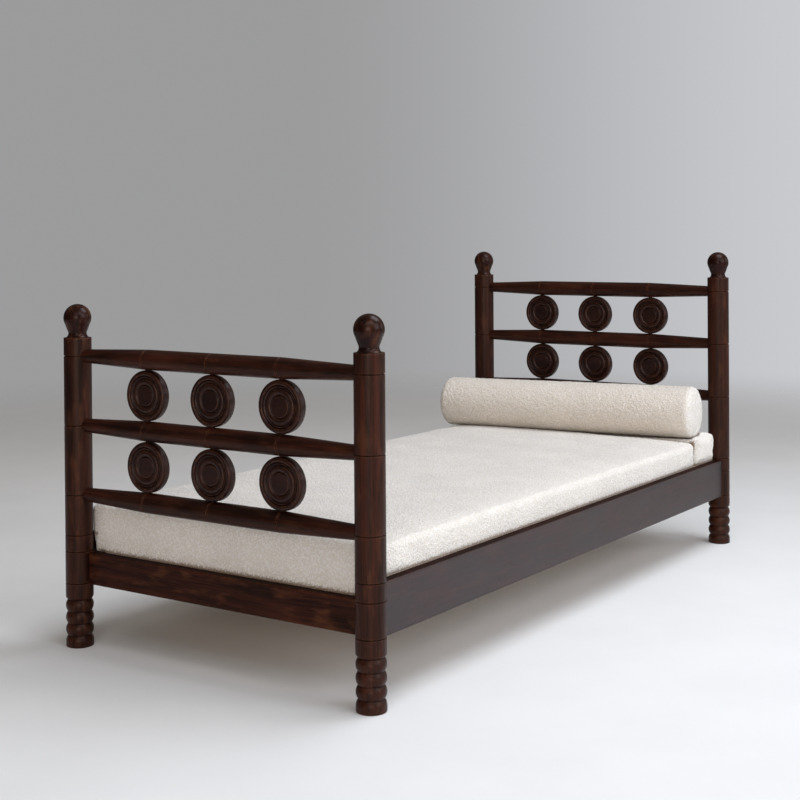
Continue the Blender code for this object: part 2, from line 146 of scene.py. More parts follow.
class DAYBED_PG_turning(bpy.types.PropertyGroup):
    """Sizes of the turned wood"""

    post_radius: length("Post Radius", "Radius of a post", span("post_head_left").y / 2)
    post_sides: count("Post Sides", "Faces round a post or a finial", 72)
    foot_edge: length("Foot Edge", "Rounding of a post under its lowest bead", 0.0028)
    lowest_cove: length("Lowest Cove", "Height of the lowest cove of a foot", 0.0289)
    bead_height: length("Bead Height", "Height of one bead of a foot", 0.0304)
    bead_count: count("Beads", "Beads of each foot", 4)
    cove_depth: length("Cove Depth", "Depth of the coves between the beads", 0.0054)
    shoulder: length("Shoulder", "Height of the round shoulder above the beads", 0.0095)
    ring_depth: length("Ring Depth", "Depth of a ring cut in a post", 0.0022)
    ring_half_width: length("Ring Half Width", "Half of a post ring's width", 0.0016)
    ring_lift: length("Ring Lift", "Height of the rings above the tops of the boards", 0.0050)
    low_ring_lift: length("Low Ring Lift", "Height of the lowest ring above the boards' undersides", 0.0032)
    top_ease: length("Top Ease", "Rounding of a post's top edge", 0.0014)
    ball_radius: length("Ball Radius", "Radius of a finial's ball", 0.035)
    ball_rise: length("Ball Rise", "Height of the ball's middle above the post", 0.0505)
    ball_cut: length("Ball Cut", "Depth below its middle at which the ball meets its neck", 0.0165)
    throat_rise: length("Throat Rise", "Height of the throat under the ball", 0.0225)
    throat_radius: length("Throat Radius", "Radius of the throat", 0.0268)
    neck_rise: length("Neck Rise", "Height of the thinnest place of the neck", 0.0117)
    neck_radius: length("Neck Radius", "Radius of the neck", 0.0230)
    flare_rise: length("Flare Rise", "Height at which the neck flares", 0.0050)
    flare_radius: length("Flare Radius", "Radius of the flare", 0.0246)
    base_radius: length("Base Radius", "Radius of the finial's base", 0.0275)
    base_height: length("Base Height", "Height of the finial's base", 0.0015)
    rail_radius: length("Rail Radius", "Radius of a rail between its rings", span("rail_head_1").z / 2)
    rail_end_radius: length("Rail End Radius", "Radius of a rail at the posts", 0.0175)
    rail_sides: count("Rail Sides", "Faces round a rail", 56)
    rail_ring_depth: length("Rail Ring Depth", "Depth of a ring cut in a rail", 0.0019)
    rail_ring_half_width: length("Rail Ring Half Width", "Half of a rail ring's width", 0.0013)
    disc_radius: length("Disc Radius", "Radius of a disc", span("disc_head_1").x / 2)
    disc_sides: count("Disc Sides", "Faces round a disc", 80)
    board_ease: length("Board Ease", "Rounding of the boards' arrises", 0.0018)
    nut_room: length("Nut Room", "Room round a rail nut in its pocket", 0.0008)
    pocket_length: length("Pocket Length", "Length of a rail nut's pocket", 0.0285)
    peg_radius: length("Peg Radius", "Radius of the pegs between discs and rails", 0.006)
    peg_sides: count("Peg Sides", "Faces round a peg", 24)
    support: length("Support", "Distance of the extra points that keep wear near an edge", 0.0035)


class DAYBED_PG_finish(bpy.types.PropertyGroup):
    """Colours of the finishes"""

    stain_dark: colour("Dark Stain", "Dark streaks of the stained wood", (0.0080, 0.0024, 0.0018))
    stain_warm: colour("Warm Stain", "Warm streaks of the stained wood", (0.0560, 0.0134, 0.0066))
    stain_worn: colour("Worn Stain", "Stain rubbed thin on edges", (0.1450, 0.0500, 0.0195))
    timber_pale: colour("Pale Timber", "Light streaks of the slats", (0.60, 0.42, 0.25))
    timber_deep: colour("Deep Timber", "Dark streaks of the slats", (0.40, 0.24, 0.12))
    steel: colour("Steel", "Colour of the rail bolts", (0.42, 0.42, 0.43))
    steel_dull: colour("Dull Steel", "Dull patches of the rail bolts", (0.26, 0.26, 0.27))
    cloth_light: colour("Light Cloth", "Tops of the cloth's loops", (0.905, 0.868, 0.840))
    # Painted contact shade beside seams, boards and the bolster
    cloth_shade: colour("Shaded Cloth", "Hollows beside a seam or a board", (0.22, 0.130, 0.070))
    # Painted shade on the bolster's side
    cloth_side_shade: colour("Painted Side Shade", "Warm tone of the bolster's side", (0.50, 0.34, 0.17))
    # Painted shade in the hollows between the loops
    cloth_hollow_shade: colour("Cloth Hollow Shade", "Hollows between the loops", (0.79, 0.735, 0.665))


class DAYBED_PG_cushions(bpy.types.PropertyGroup):
    """Sizes of the soft pieces"""

    edge: length("Edge", "Rounding of the cushions' top edges", 0.014)
    low_edge: length("Low Edge", "Rounding of the cushions' bottom edges", 0.007)
    corner: length("Corner", "Rounding of the cushions' upright corners", 0.016)
    tuck: length("Tuck", "How far the cover starts inside its place", 0.002)
    clear: length("Clear", "Room between a cushion and its neighbours", 0.001)
    bulge: length("Bulge", "How far the mattress bulges over the side boards", 0.006)
    head_bulge: length("Head Bulge", "How far the head cushion bulges over the side boards", 0.0075)
    head_rise: length("Head Rise", "How much fuller the head cushion stands beside the bolster", 0.008)
    crown: length("Crown", "How far the mattress falls from its middle to its edges", 0.005)
    crown_reach: length("Crown Reach", "Width of the strip in which the mattress falls", 0.15)
    corner_pull: length("Corner Pull", "How far the lower corners pull in", 0.012)
    foot_tuck: length("Foot Tuck", "How far the foot's lower rim is pushed behind the end board", 0.005)
    seam: length("Seam", "Gap at the seam before the head cushion", 0.0065)
    seam_edge: length("Seam Edge", "Rounding of the edges at the seam", 0.012)
    shade_band: length("Shade Band", "Width of the shaded rows beside a seam or a board", 0.012)
    swell: length("Swell", "Most that the stuffing pushes the cover out", 0.005)
    pressure: share("Pressure", "Pressure of the stuffing", 4.0, min=0)
    frames: count("Frames", "Steps of the cloth simulation", 16)
    mattress_cell: length("Mattress Cell", "Cell of the mattress in the simulation", 0.009)
    small_cell: length("Small Cell", "Cell of the small cushions in the simulation", 0.006)
    nub_size: length("Nub Size", "Size of the cloth's loops", 0.0080)
    nub_height: length("Nub Height", "Height of the cloth's loops", 0.0021)
    sag_size: length("Unevenness Size", "Size of the slow waves of the cover", 0.070)
    sag_height: length("Unevenness", "Height of the slow waves of the cover", 0.0016)
    bolster_radius: length("Bolster Radius", "Radius of the bolster", 0.0897)
    bolster_length: length("Bolster Length", "Length of the bolster", 0.936)
    bolster_dome: length("Bolster Dome", "Depth of the bolster's round left end", 0.030)
    bolster_right_edge: length("Bolster Right Edge", "Rounding of the bolster's right end", 0.020)
    bolster_rise: length("Bolster Rise", "How far the bolster's top stands above its packed top", -0.0010)
    nestle: length("Nestle", "Room below the bolster that the cloth under it closes", 0.007)
    # Strengths of the painted shade on the bolster's side, and of the extra painted shade low down
    bolster_side_shade: share("Bolster Side Shade", "Least warm tone of the bolster's side", 0.21)
    bolster_low_shade: share("Bolster Low Shade", "Warm tone added low on the bolster", 0.06)
    bolster_tilt: angle("Bolster Tilt", "Lift of the right end", 0.40)
    bolster_turn: angle("Bolster Turn", "How far askew the bolster lies", 5.5)


class DAYBED_PG_stage(bpy.types.PropertyGroup):
    """Camera, light and floor"""

    camera_place: bpy.props.FloatVectorProperty(
        name="Camera Place",
        description="Where the camera stands",
        default=(2.26838, -3.53133, 1.05096),
        subtype="TRANSLATION",
        unit="LENGTH",
    )
    camera_yaw: angle("Camera Yaw", "Turn of the view from +Y", 34.376)
    camera_pitch: angle("Camera Pitch", "Tilt of the view down", 0.512)
    camera_roll: angle("Camera Roll", "Lean of the view", -0.394)
    lens: share("Lens", "Focal length in millimetres", 63.77)
    sensor: share("Sensor", "Sensor width in millimetres", 36.0)
    shift: share("Shift", "Vertical shift of the lens", -0.1936)
    floor_radius: length("Floor Radius", "Radius at which the floor has faded out", 7.0)
    floor_solid: length("Solid Floor", "Radius at which the floor starts to fade", 2.6)
    floor_colour: colour("Floor", "Colour of the floor", (0.872, 0.874, 0.878))
    backdrop: colour("Backdrop", "Colour behind the floor", (0.33, 0.33, 0.335))
    backdrop_right: colour("Right Backdrop", "Colour behind the floor on the right", (0.60, 0.61, 0.64))
    lamp_colour: colour("Lamp Colour", "Colour of the lamps", (0.87, 0.925, 1.0))
    fill_colour: colour("Fill Colour", "Colour of the light from all round", (1.0, 0.91, 0.82))
    fill: share("Fill Light", "Strength of the light from the open side", 0.325, min=0)
    fill_low: share("Low Fill Light", "Strength of the light from the far side", 0.05, min=0)
    fill_side: bpy.props.FloatVectorProperty(
        name="Open Side",
        description="Direction of the open side of the room",
        default=(0.80, 0.15, 0.58),
        subtype="DIRECTION",
    )
    key_power: power("Key Light", "Power of the large light", 108)
    front_power: power("Front Light", "Power of the light before the foot", 97)
    top_power: power("Top Light", "Power of the light from above", 71)
    floor_power: power("Floor Light", "Power of the light on the floor at the foot", 17)
    back_power: power("Back Light", "Power of the light behind the right side", 18)
    glint_power: power("Glint Light", "Power of the small light on the finials", 16)


# Modelling


def select_only(obj):
    """Make one object the selected and active one."""
    bpy.ops.object.select_all(action="DESELECT")
    obj.select_set(True)
    bpy.context.view_layer.objects.active = obj


def named(name):
    """Name the object that was just added."""
    obj = bpy.context.active_object
    obj.name = obj.data.name = name
    return obj


def settle(obj, place=(0, 0, 0), turn=(0, 0, 0)):
    """Put an object in its place and move that place into its mesh."""
    select_only(obj)
    obj.location = place
    obj.rotation_euler = turn
    bpy.ops.object.transform_apply(location=True, rotation=True, scale=True)
    return obj


def copied(obj, name, place):
    """A copy with its own mesh, moved to a place."""
    select_only(obj)
    bpy.ops.object.duplicate(linked=False)
    return settle(named(name), place)


def apply_modifier(obj, name, kind, **values):
    """Add a modifier, set it and apply it."""
    select_only(obj)
    modifier = obj.modifiers.new(name, kind)
    for key, value in values.items():
        setattr(modifier, key, value)
    bpy.ops.object.modifier_apply(modifier=modifier.name)


def turned(name, outline, sides):
    """Draw an outline of (radius, height) points one by one and spin it about Z."""
    bpy.ops.object.select_all(action="DESELECT")
    bpy.ops.mesh.primitive_plane_add(size=1)
    obj = named(name)
    bpy.ops.object.mode_set(mode="EDIT")
    bpy.ops.mesh.select_mode(type="VERT")
    bpy.ops.mesh.select_all(action="SELECT")
    bpy.ops.mesh.merge(type="CENTER")
    radius, height = outline[0]
    bpy.ops.transform.translate(value=(radius, 0, height))
    for next_radius, next_height in outline[1:]:
        step = (next_radius - radius, 0, next_height - height)
        bpy.ops.mesh.extrude_vertices_move(TRANSFORM_OT_translate={"value": step})
        radius, height = next_radius, next_height
    bpy.ops.mesh.select_all(action="SELECT")
    bpy.ops.mesh.spin(steps=sides, angle=FULL_TURN, center=(0, 0, 0), axis=(0, 0, 1))
    bpy.ops.mesh.select_all(action="SELECT")
    bpy.ops.mesh.remove_doubles(threshold=WELD_DISTANCE)
    bpy.ops.mesh.normals_make_consistent(inside=False)
    bpy.ops.object.mode_set(mode="OBJECT")
    return obj


def select_none(kind):
    """Clear the selection of the active mesh, ready for edges or faces to be picked in code."""
    bpy.ops.object.mode_set(mode="EDIT")
    bpy.ops.mesh.select_mode(type=kind)
    bpy.ops.mesh.select_all(action="DESELECT")
    bpy.ops.object.mode_set(mode="OBJECT")


def select_edges(obj, wanted):
    """Select the edges whose two ends pass a test, and stay in edit mode."""
    select_none("EDGE")
    places = [point.co for point in obj.data.vertices]
    for edge in obj.data.edges:
        edge.select = wanted(*(places[i] for i in edge.vertices))
    bpy.ops.object.mode_set(mode="EDIT")


def select_faces(obj, wanted):
    """Select the faces that pass a test, and stay in edit mode."""
    select_none("FACE")
    for face in obj.data.polygons:
        face.select = wanted(face)
    bpy.ops.object.mode_set(mode="EDIT")


def block(name, low, high):
    """A plain block between two corners."""
    bpy.ops.object.select_all(action="DESELECT")
    bpy.ops.mesh.primitive_cube_add(size=1, location=(low + high) / 2, scale=high - low)
    obj = named(name)
    bpy.ops.object.transform_apply(location=True, rotation=True, scale=True)
    return obj


def plank(name, low, high, ease):
    """A board with rounded arrises, and a row of points beside each to keep the wear there."""
    obj = block(name, low, high)
    bpy.ops.object.mode_set(mode="EDIT")
    bpy.ops.mesh.select_all(action="SELECT")
    bpy.ops.mesh.bevel(offset=ease, segments=BOARD_SEGMENTS, affect="EDGES")
    bpy.ops.object.mode_set(mode="OBJECT")
    wide = sorted(face.area for face in obj.data.polygons)[-BOARD_FACES]
    select_faces(obj, lambda face: face.area >= wide)
    bpy.ops.mesh.inset(thickness=2 * ease, use_individual=True)
    bpy.ops.object.mode_set(mode="OBJECT")
    return obj


def nut_pocket(end, side, sizes):
    """The block of wood that is cut out of a side board round a rail nut."""
    low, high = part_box("rail_nut_%s_%s" % (end, side))
    centre = (low + high) / 2
    half = (high.x - low.x) / 2 + sizes.nut_room
    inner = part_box("side_board_" + side)[side == "left"].x
    depth = abs(inner - centre.x) + half
    half_length = sizes.pocket_length / 2
    centre.x += half - depth if side == "right" else depth - half
    centre.y = high.y - half_length if end == "head" else low.y + half_length
    reach = Vector((depth, half_length, half))
    return block("pocket_cutter", centre - reach, centre + reach)


def points_of(mesh):
    """A mesh's points as rows of x, y and z."""
    flat = np.empty(len(mesh.vertices) * 3, np.float32)
    mesh.vertices.foreach_get("co", flat)
    return flat.reshape(-1, 3).astype(float)


def set_points(mesh, points):
    """Move a mesh's points."""
    mesh.vertices.foreach_set("co", points.astype(np.float32).ravel())
    mesh.update()


# Curvature of a fully worn arris, and how far up the normal of a level face points
ARRIS_CURVATURE = 320.0
LEVEL = 0.9


def mark_arrises(obj):
    """Store on each point how sharply it stands out: 1 on a worn arris, -1 in a hollow."""
    mesh = obj.data
    points = points_of(mesh)
    normals = np.array([tuple(n.vector) for n in mesh.vertex_normals])
    ends = np.empty(len(mesh.edges) * 2, np.int32)
    mesh.edges.foreach_get("vertices", ends)
    ends = ends.reshape(-1, 2)
    most, least = np.zeros(len(points)), np.zeros(len(points))
    for here, there in ((ends[:, 0], ends[:, 1]), (ends[:, 1], ends[:, 0])):
        step = points[there] - points[here]
        bend = -2 * (step * normals[here]).sum(1) / np.maximum((step**2).sum(1), WELD_DISTANCE**2)
        np.maximum.at(most, here, bend)
        np.minimum.at(least, here, bend)
    sharpest = np.where(most > -least, most, least)
    marks = mesh.attributes.new("arris", "FLOAT", "POINT")
    marks.data.foreach_set("value", np.clip(sharpest / ARRIS_CURVATURE, -1, 1).astype(np.float32))


def finish_wood(obj, material, node):
    """Shade, mark and dress a wooden piece that stands for a CAD node."""
    select_only(obj)
    bpy.ops.object.shade_smooth_by_angle(angle=SMOOTH_ANGLE)
    mark_arrises(obj)
    obj.data.materials.clear()
    obj.data.materials.append(material)
    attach(obj, "frame")
    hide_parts(node)


def stand_ins(pattern, kind, places):
    """Copies of a turned pattern that stand for CAD nodes at their places, after which it goes."""
    for node, place in places.items():
        finish_wood(copied(pattern, "turned_" + node, place), stained_wood(kind), node)
    bpy.data.objects.remove(pattern)


def dull_shaded_top(obj, material):
    """Give a board's upper faces their own finish: less polished, and darker as painted shade."""
    obj.data.materials.append(material)
    for face in obj.data.polygons:
        face.material_index = int(face.normal.z > LEVEL)


# Outlines of (radius, height) points


def arc(middle_point, radius, start, end, steps):
    """Points on an arc, in degrees from the outward direction."""
    across, up = middle_point
    angles = [math.radians(start + (end - start) * i / steps) for i in range(steps + 1)]
    return [(across + radius * math.cos(a), up + radius * math.sin(a)) for a in angles]


def through(knots, steps):
    """Points on a smooth curve through all the knots."""
    padded = [knots[0], *knots, knots[-1]]
    points = [knots[0]]
    for before, start, end, after in zip(padded, padded[1:], padded[2:], padded[3:]):
        for i in range(1, steps + 1):
            t = i / steps
            pairs = zip(before, start, end, after)
            points.append(tuple(catmull(*four, t) for four in pairs))
    return points


def catmull(before, start, end, after, t):
    """One coordinate on the smooth stretch from start to end."""
    slope = end - before
    bend = 2 * before - 5 * start + 4 * end - after
    twist = 3 * start - before - 3 * end + after
    return start + 0.5 * t * (slope + t * (bend + t * twist))


def ring(height, radius, depth, half_width, support):
    """A ring cut into a turned piece, drawn upwards, with a point beside each edge."""
    upper = [
        (radius - depth, half_width * RING_FLOOR),
        (radius - depth * RING_EDGE, half_width),
        (radius, half_width * RING_LIP),
        (radius, half_width + support),
    ]
    return [(r, height - z) for r, z in reversed(upper)] + [(r, height + z) for r, z in upper]


def cove(height, radius, depth, below, above):
    """The valley between two round beads, drawn upwards from one belly to the next."""
    points = []
    for i in range(-BEAD_STEPS, BEAD_STEPS + 1):
        reach = below if i < 0 else above
        closeness = 1 - abs(i) / BEAD_STEPS
        points.append((radius - depth * closeness**BEAD_POWER, height + reach * i / BEAD_STEPS))
    return points


def post_outline(end, sizes):
    """A post from the middle of its foot up to the middle of its top."""
    radius = sizes.post_radius
    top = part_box("post_%s_left" % end)[1].z
    board_low, board_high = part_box("side_board_left")
    rings = [board_low.z + sizes.low_ring_lift]
    rings += [z + sizes.ring_lift for z in (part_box("end_board_%s" % end)[1].z, board_high.z)]
    rings += [middle(node).z for node in like_nodes("rail_%s_" % end)]
    edge = sizes.foot_edge
    points = [(0, 0)] + arc((radius - edge, edge), edge, -90, 0, FOOT_STEPS)
    half_bead = sizes.bead_height / 2
    for bead in range(sizes.bead_count):
        height = sizes.lowest_cove + sizes.bead_height * bead
        above = half_bead if bead + 1 < sizes.bead_count else sizes.shoulder
        points += cove(height, radius, sizes.cove_depth, half_bead, above)[bead > 0:]
    for height in sorted(rings):
        points += ring(height, radius, sizes.ring_depth, sizes.ring_half_width, sizes.support)
    ease = sizes.top_ease
    points += [(radius, top - ease - sizes.support)]
    points += arc((radius - ease, top - ease), ease, 0, 90, EASE_STEPS)
    return points + [(radius - ease - sizes.support, top), (0, top)]


def finial_outline(sizes):
    """A finial from the middle of its base, past its neck, to the top of its ball."""
    meeting = math.sqrt(sizes.ball_radius**2 - sizes.ball_cut**2)
    neck = [
        (sizes.base_radius, sizes.base_height),
        (sizes.flare_radius, sizes.flare_rise),
        (sizes.neck_radius, sizes.neck_rise),
        (sizes.throat_radius, sizes.throat_rise),
        (meeting, sizes.ball_rise - sizes.ball_cut),
    ]
    low = -math.degrees(math.asin(sizes.ball_cut / sizes.ball_radius))
    ball = arc((0, sizes.ball_rise), sizes.ball_radius, low, 90, BALL_STEPS)
    points = [(0, 0), (sizes.base_radius, 0)] + through(neck, NECK_STEPS)
    return points + ball[1:-1] + [(0, ball[-1][1])]


def rail_outline(sizes, half, reach, rings):
    """A rail from end to end, thin in the posts, full between its outer rings."""
    full, thin = sizes.rail_radius, sizes.rail_end_radius
    points = [(0, -half), (thin, -half), (thin, -reach)]
    cut = sizes.rail_ring_depth, sizes.rail_ring_half_width, sizes.support
    for place in rings:
        points += ring(place, full, *cut)
    outer = max(rings)
    taper = (full - thin) / (reach - outer)
    points = [
        (min(r, full - taper * max(0, abs(z) - outer)), z) if thin < r else (r, z)
        for r, z in points
    ]
    return points + [(thin, reach), (thin, half), (0, half)]


# A disc's face as shares of its radius and of its half thickness
DISC_FACE = (
    (0.00, 0.800), (0.20, 0.802), (0.355, 0.808), (0.390, 0.800), (0.405, 0.720), (0.420, 0.630),
    (0.435, 0.640), (0.460, 0.800), (0.500, 0.910), (0.550, 0.960), (0.600, 0.945), (0.640, 0.880),
    (0.668, 0.760), (0.680, 0.650), (0.695, 0.630), (0.712, 0.690), (0.735, 0.800), (0.752, 0.800),
    (0.765, 0.710), (0.778, 0.630), (0.792, 0.670), (0.815, 0.880), (0.845, 0.985), (0.885, 1.000),
    (0.920, 0.985), (0.950, 0.930), (0.975, 0.820), (0.992, 0.640), (1.000, 0.420),
)


def disc_outline(sizes, half_thickness):
    """Both faces of a disc, from the middle of one face to the middle of the other."""
    face = [(r * sizes.disc_radius, h * half_thickness) for r, h in through(DISC_FACE, FACE_STEPS)]
    return [(r, -h) for r, h in face] + [(r, h) for r, h in reversed(face)]


# Material building blocks


def node_in(tree, kind, sockets=None, **settings):
    """Add a node, set its own settings and the sockets that aren't linked."""
    node = tree.nodes.new(kind)
    for key, value in settings.items():
        setattr(node, key, value)
    for key, value in (sockets or {}).items():
        if isinstance(value, bpy.types.NodeSocket):
            tree.links.new(value, node.inputs[key])
        else:
            node.inputs[key].default_value = value
    return node


def sums(tree, operation, first, second=0.0, third=0.0, clamp=False):
    """A Math node's output."""
    sockets = {0: first, 1: second, 2: third}
    return node_in(tree, "ShaderNodeMath", sockets, operation=operation, use_clamp=clamp).outputs[0]


def ranged(tree, value, low, high, to_low=0.0, to_high=1.0):
    """A value that runs smoothly between two limits."""
    sockets = {"Value": value, "From Min": low, "From Max": high, "To Min": to_low, "To Max": to_high}
    node = node_in(tree, "ShaderNodeMapRange", sockets, interpolation_type="SMOOTHSTEP")
    return node.outputs["Result"]


def mixed(tree, factor, first, second, blend="MIX"):
    """A mix of two colours."""
    sockets = {0: factor, 6: first, 7: second}
    node = node_in(tree, "ShaderNodeMix", sockets, data_type="RGBA", blend_type=blend)
    return node.outputs[2]


def noise(tree, vector, scale, detail=2.0, roughness=0.5):
    """A Noise Texture's value."""
    sockets = {"Vector": vector, "Scale": scale, "Detail": detail, "Roughness": roughness}
    return node_in(tree, "ShaderNodeTexNoise", sockets).outputs["Fac"]


def vectors(tree, operation, *terms, output="Vector"):
    """A Vector Math node's output."""
    sockets = dict(enumerate(terms))
    return node_in(tree, "ShaderNodeVectorMath", sockets, operation=operation).outputs[output]


def new_group(name, inputs, outputs):
    """An empty shader node group with named sockets."""
    tree = bpy.data.node_groups.new(name, "ShaderNodeTree")
    for in_out, sockets in (("INPUT", inputs), ("OUTPUT", outputs)):
        for label, kind in sockets.items():
            tree.interface.new_socket(name=label, in_out=in_out, socket_type="NodeSocket" + kind)
    entry = tree.nodes.new("NodeGroupInput")
    leave = tree.nodes.new("NodeGroupOutput")
    return tree, entry.outputs, leave.inputs


# Repeats in a metre along and across the grain, detail and roughness of the wood's patterns
GRAIN_PATTERNS = {
    "wander": (2.0, 9.0, 2.0, 0.5),
    "streak": (2.4, 85.0, 4.0, 0.55),
    "line": (9.0, 430.0, 3.0, 0.6),
    "pore": (38.0, 1150.0, 1.0, 0.5),
    "patch": (5.0, 14.0, 3.0, 0.5),
    "thin": (14.0, 48.0, 4.0, 0.5),
}
GRAIN_DRIFT = (0.0, 0.020, 0.016)


def grain_pattern(tree, position, name):
    """One pattern of the wood, drawn out along X."""
    along, across, detail, roughness = GRAIN_PATTERNS[name]
    drawn_out = vectors(tree, "MULTIPLY", position, (along, across, across))
    return noise(tree, drawn_out, 1.0, detail, roughness)


def wood_grain_group():
    """Long streaks, fine lines and pores along X, with worn arrises, and hollows darkened by dirt and
    painted shade.
    """
    tree, given, result = new_group(
        "Wood Grain",
        {
            "Position": "Vector",
            "Arris": "Float",
            "Wear": "Float",
            "Patches": "Float",
            "Dark": "Color",
            "Warm": "Color",
            "Worn": "Color",
        },
        {"Colour": "Color", "Roughness": "Float", "Height": "Float"},
    )
    position = given["Position"]
    wander = grain_pattern(tree, position, "wander")
    drift = vectors(tree, "MULTIPLY_ADD", wander, GRAIN_DRIFT, position)
    streak, line, pore = (grain_pattern(tree, drift, name) for name in ("streak", "line", "pore"))
    patch = grain_pattern(tree, position, "patch")
    blend = sums(tree, "MULTIPLY_ADD", line, 0.60, sums(tree, "MULTIPLY", streak, 0.60))
    tone = ranged(tree, blend, 0.41, 0.82)
    tinted = mixed(tree, tone, given["Dark"], given["Warm"])
    shade = ranged(tree, patch, 0.30, 0.72, 0.62, 1.25)
    patched = mixed(tree, 1.0, tinted, shade, "MULTIPLY")
    pores = ranged(tree, pore, 0.60, 0.72)
    pored = mixed(tree, sums(tree, "MULTIPLY", pores, 0.55), patched, given["Dark"])
    bright = ranged(tree, grain_pattern(tree, drift, "thin"), 0.50, 0.74)
    thin = mixed(tree, sums(tree, "MULTIPLY", bright, given["Patches"]), pored, given["Worn"])
    break_up = ranged(tree, noise(tree, position, 120.0, 3.0), 0.35, 0.68)
    rubbed = sums(tree, "MULTIPLY", ranged(tree, given["Arris"], 0.08, 0.9), break_up)
    worn = mixed(tree, sums(tree, "MULTIPLY", rubbed, given["Wear"]), thin, given["Worn"])
    # Hollows are darkened: partly dirt, partly painted shade
    hollow = ranged(tree, given["Arris"], -0.10, -0.9, 1.0, 0.30)
    tree.links.new(mixed(tree, 1.0, worn, hollow, "MULTIPLY"), result["Colour"])
    rough = sums(tree, "MULTIPLY_ADD", patch, 0.16, 0.27)
    rough = sums(tree, "MULTIPLY_ADD", pores, 0.15, rough)
    tree.links.new(rough, result["Roughness"])
    height = sums(tree, "MULTIPLY_ADD", line, 0.5, sums(tree, "MULTIPLY", pores, -0.7))
    tree.links.new(height, result["Height"])
    return tree


def cells(tree, vector, scale, smoothness):
    """Distances from the middles of crowded round cells."""
    sockets = {"Vector": vector, "Scale": scale, "Smoothness": smoothness}
    return node_in(tree, "ShaderNodeTexVoronoi", sockets, feature="SMOOTH_F1").outputs["Distance"]


# How far the yarn curls aside, and the size of its loops as a share of the cloth's nubs
LOOP_CURL = 0.006
LOOP_SHARE = 0.7


def looped_pile_group():
    """Small crowded loops of yarn, with warm painted shade in the hollows between them and darker painted
    contact shade near seams, boards and the bolster.
    """
    tree, given, result = new_group(
        "Looped Pile",
        {
            "Position": "Vector",
            "Size": "Float",
            "Shade Band": "Float",
            "Light": "Color",
            "Deep": "Color",
            "Shade": "Color",
        },
        {"Colour": "Color", "Height": "Float"},
    )
    position = given["Position"]
    pitch = sums(tree, "DIVIDE", 1.0, given["Size"])
    sockets = {"Vector": position, "Scale": sums(tree, "MULTIPLY", pitch, 0.8)}
    curl = node_in(tree, "ShaderNodeTexNoise", sockets).outputs["Color"]
    bent = vectors(tree, "MULTIPLY_ADD", curl, (LOOP_CURL,) * 3, position)
    loops = cells(tree, bent, pitch, 0.35)
    curls = cells(tree, bent, sums(tree, "MULTIPLY", pitch, 2.3), 0.3)
    fibre = noise(tree, bent, sums(tree, "MULTIPLY", pitch, 9.0), 2.0)
    nub = ranged(tree, loops, 0.15, 0.75, 1.0, 0.0)
    small = ranged(tree, curls, 0.15, 0.75, 1.0, 0.0)
    height = sums(tree, "MULTIPLY_ADD", small, 0.45, sums(tree, "MULTIPLY", nub, 0.8))
    height = sums(tree, "MULTIPLY_ADD", fibre, 0.18, height)
    tree.links.new(height, result["Height"])
    tone = ranged(tree, height, 0.25, 1.0)
    patch = noise(tree, position, 9.0, 3.0)
    # The loops' low parts take the deep colour: painted shade in the hollows between them
    yarn = mixed(tree, tone, given["Deep"], given["Light"])
    shade = ranged(tree, patch, 0.25, 0.75, 0.95, 1.03)
    cover = mixed(tree, 1.0, yarn, shade, "MULTIPLY")
    depth = sums(tree, "MULTIPLY", height, -1.0)
    # Painted contact shade near seams, boards and the bolster, read from the points
    hollow = ranged(tree, sums(tree, "MULTIPLY_ADD", given["Shade Band"], 1.5, depth), -0.55, 0.45)
    speckled_shade = mixed(tree, sums(tree, "MULTIPLY", hollow, given["Shade Band"]), cover, given["Shade"])
    tree.links.new(speckled_shade, result["Colour"])
    return tree


def new_material(name, **constants):
    """A material's node tree and its Principled shader, with plain values set on its sockets."""
    material = bpy.data.materials.new(name)
    material.use_nodes = True
    shader = material.node_tree.nodes["Principled BSDF"]
    for key, value in constants.items():
        shader.inputs[key.replace("_", " ").title().replace("Ior", "IOR")].default_value = value
    return material, material.node_tree, shader


def placed(tree, turn=(0, 0, 0)):
    """Object coordinates, turned so that the grain runs along X."""
    source = tree.nodes.new("ShaderNodeTexCoord").outputs["Object"]
    sockets = {"Vector": source, "Rotation": turn}
    return node_in(tree, "ShaderNodeMapping", sockets).outputs["Vector"]


def bumped(tree, shader, height, depth, strength=1.0):
    """Feed a height into the shader's normal."""
    sockets = {"Height": height, "Distance": depth, "Strength": strength}
    normal = node_in(tree, "ShaderNodeBump", sockets).outputs["Normal"]
    tree.links.new(normal, shader.inputs["Normal"])


def stored(tree, name):
    """A share that is stored on a piece's points."""
    return node_in(tree, "ShaderNodeAttribute", attribute_name=name).outputs["Fac"]


def rgba(value):
    """A colour with full alpha."""
    return (*value, 1.0)


GRAIN_TURNS = {
    "x": (0, 0, 0),
    "y": (0, 0, -math.pi / 2),
    "z": (0, math.pi / 2, 0),
}


# Depths of the finishes' fine relief, and how strongly the wood's and the cloth's show
GRAIN_DEPTH = 0.0004
GRAIN_RELIEF = 0.25
STEEL_DEPTH = 0.0001
LOOP_DEPTH = 0.0023
LOOP_RELIEF = 0.75


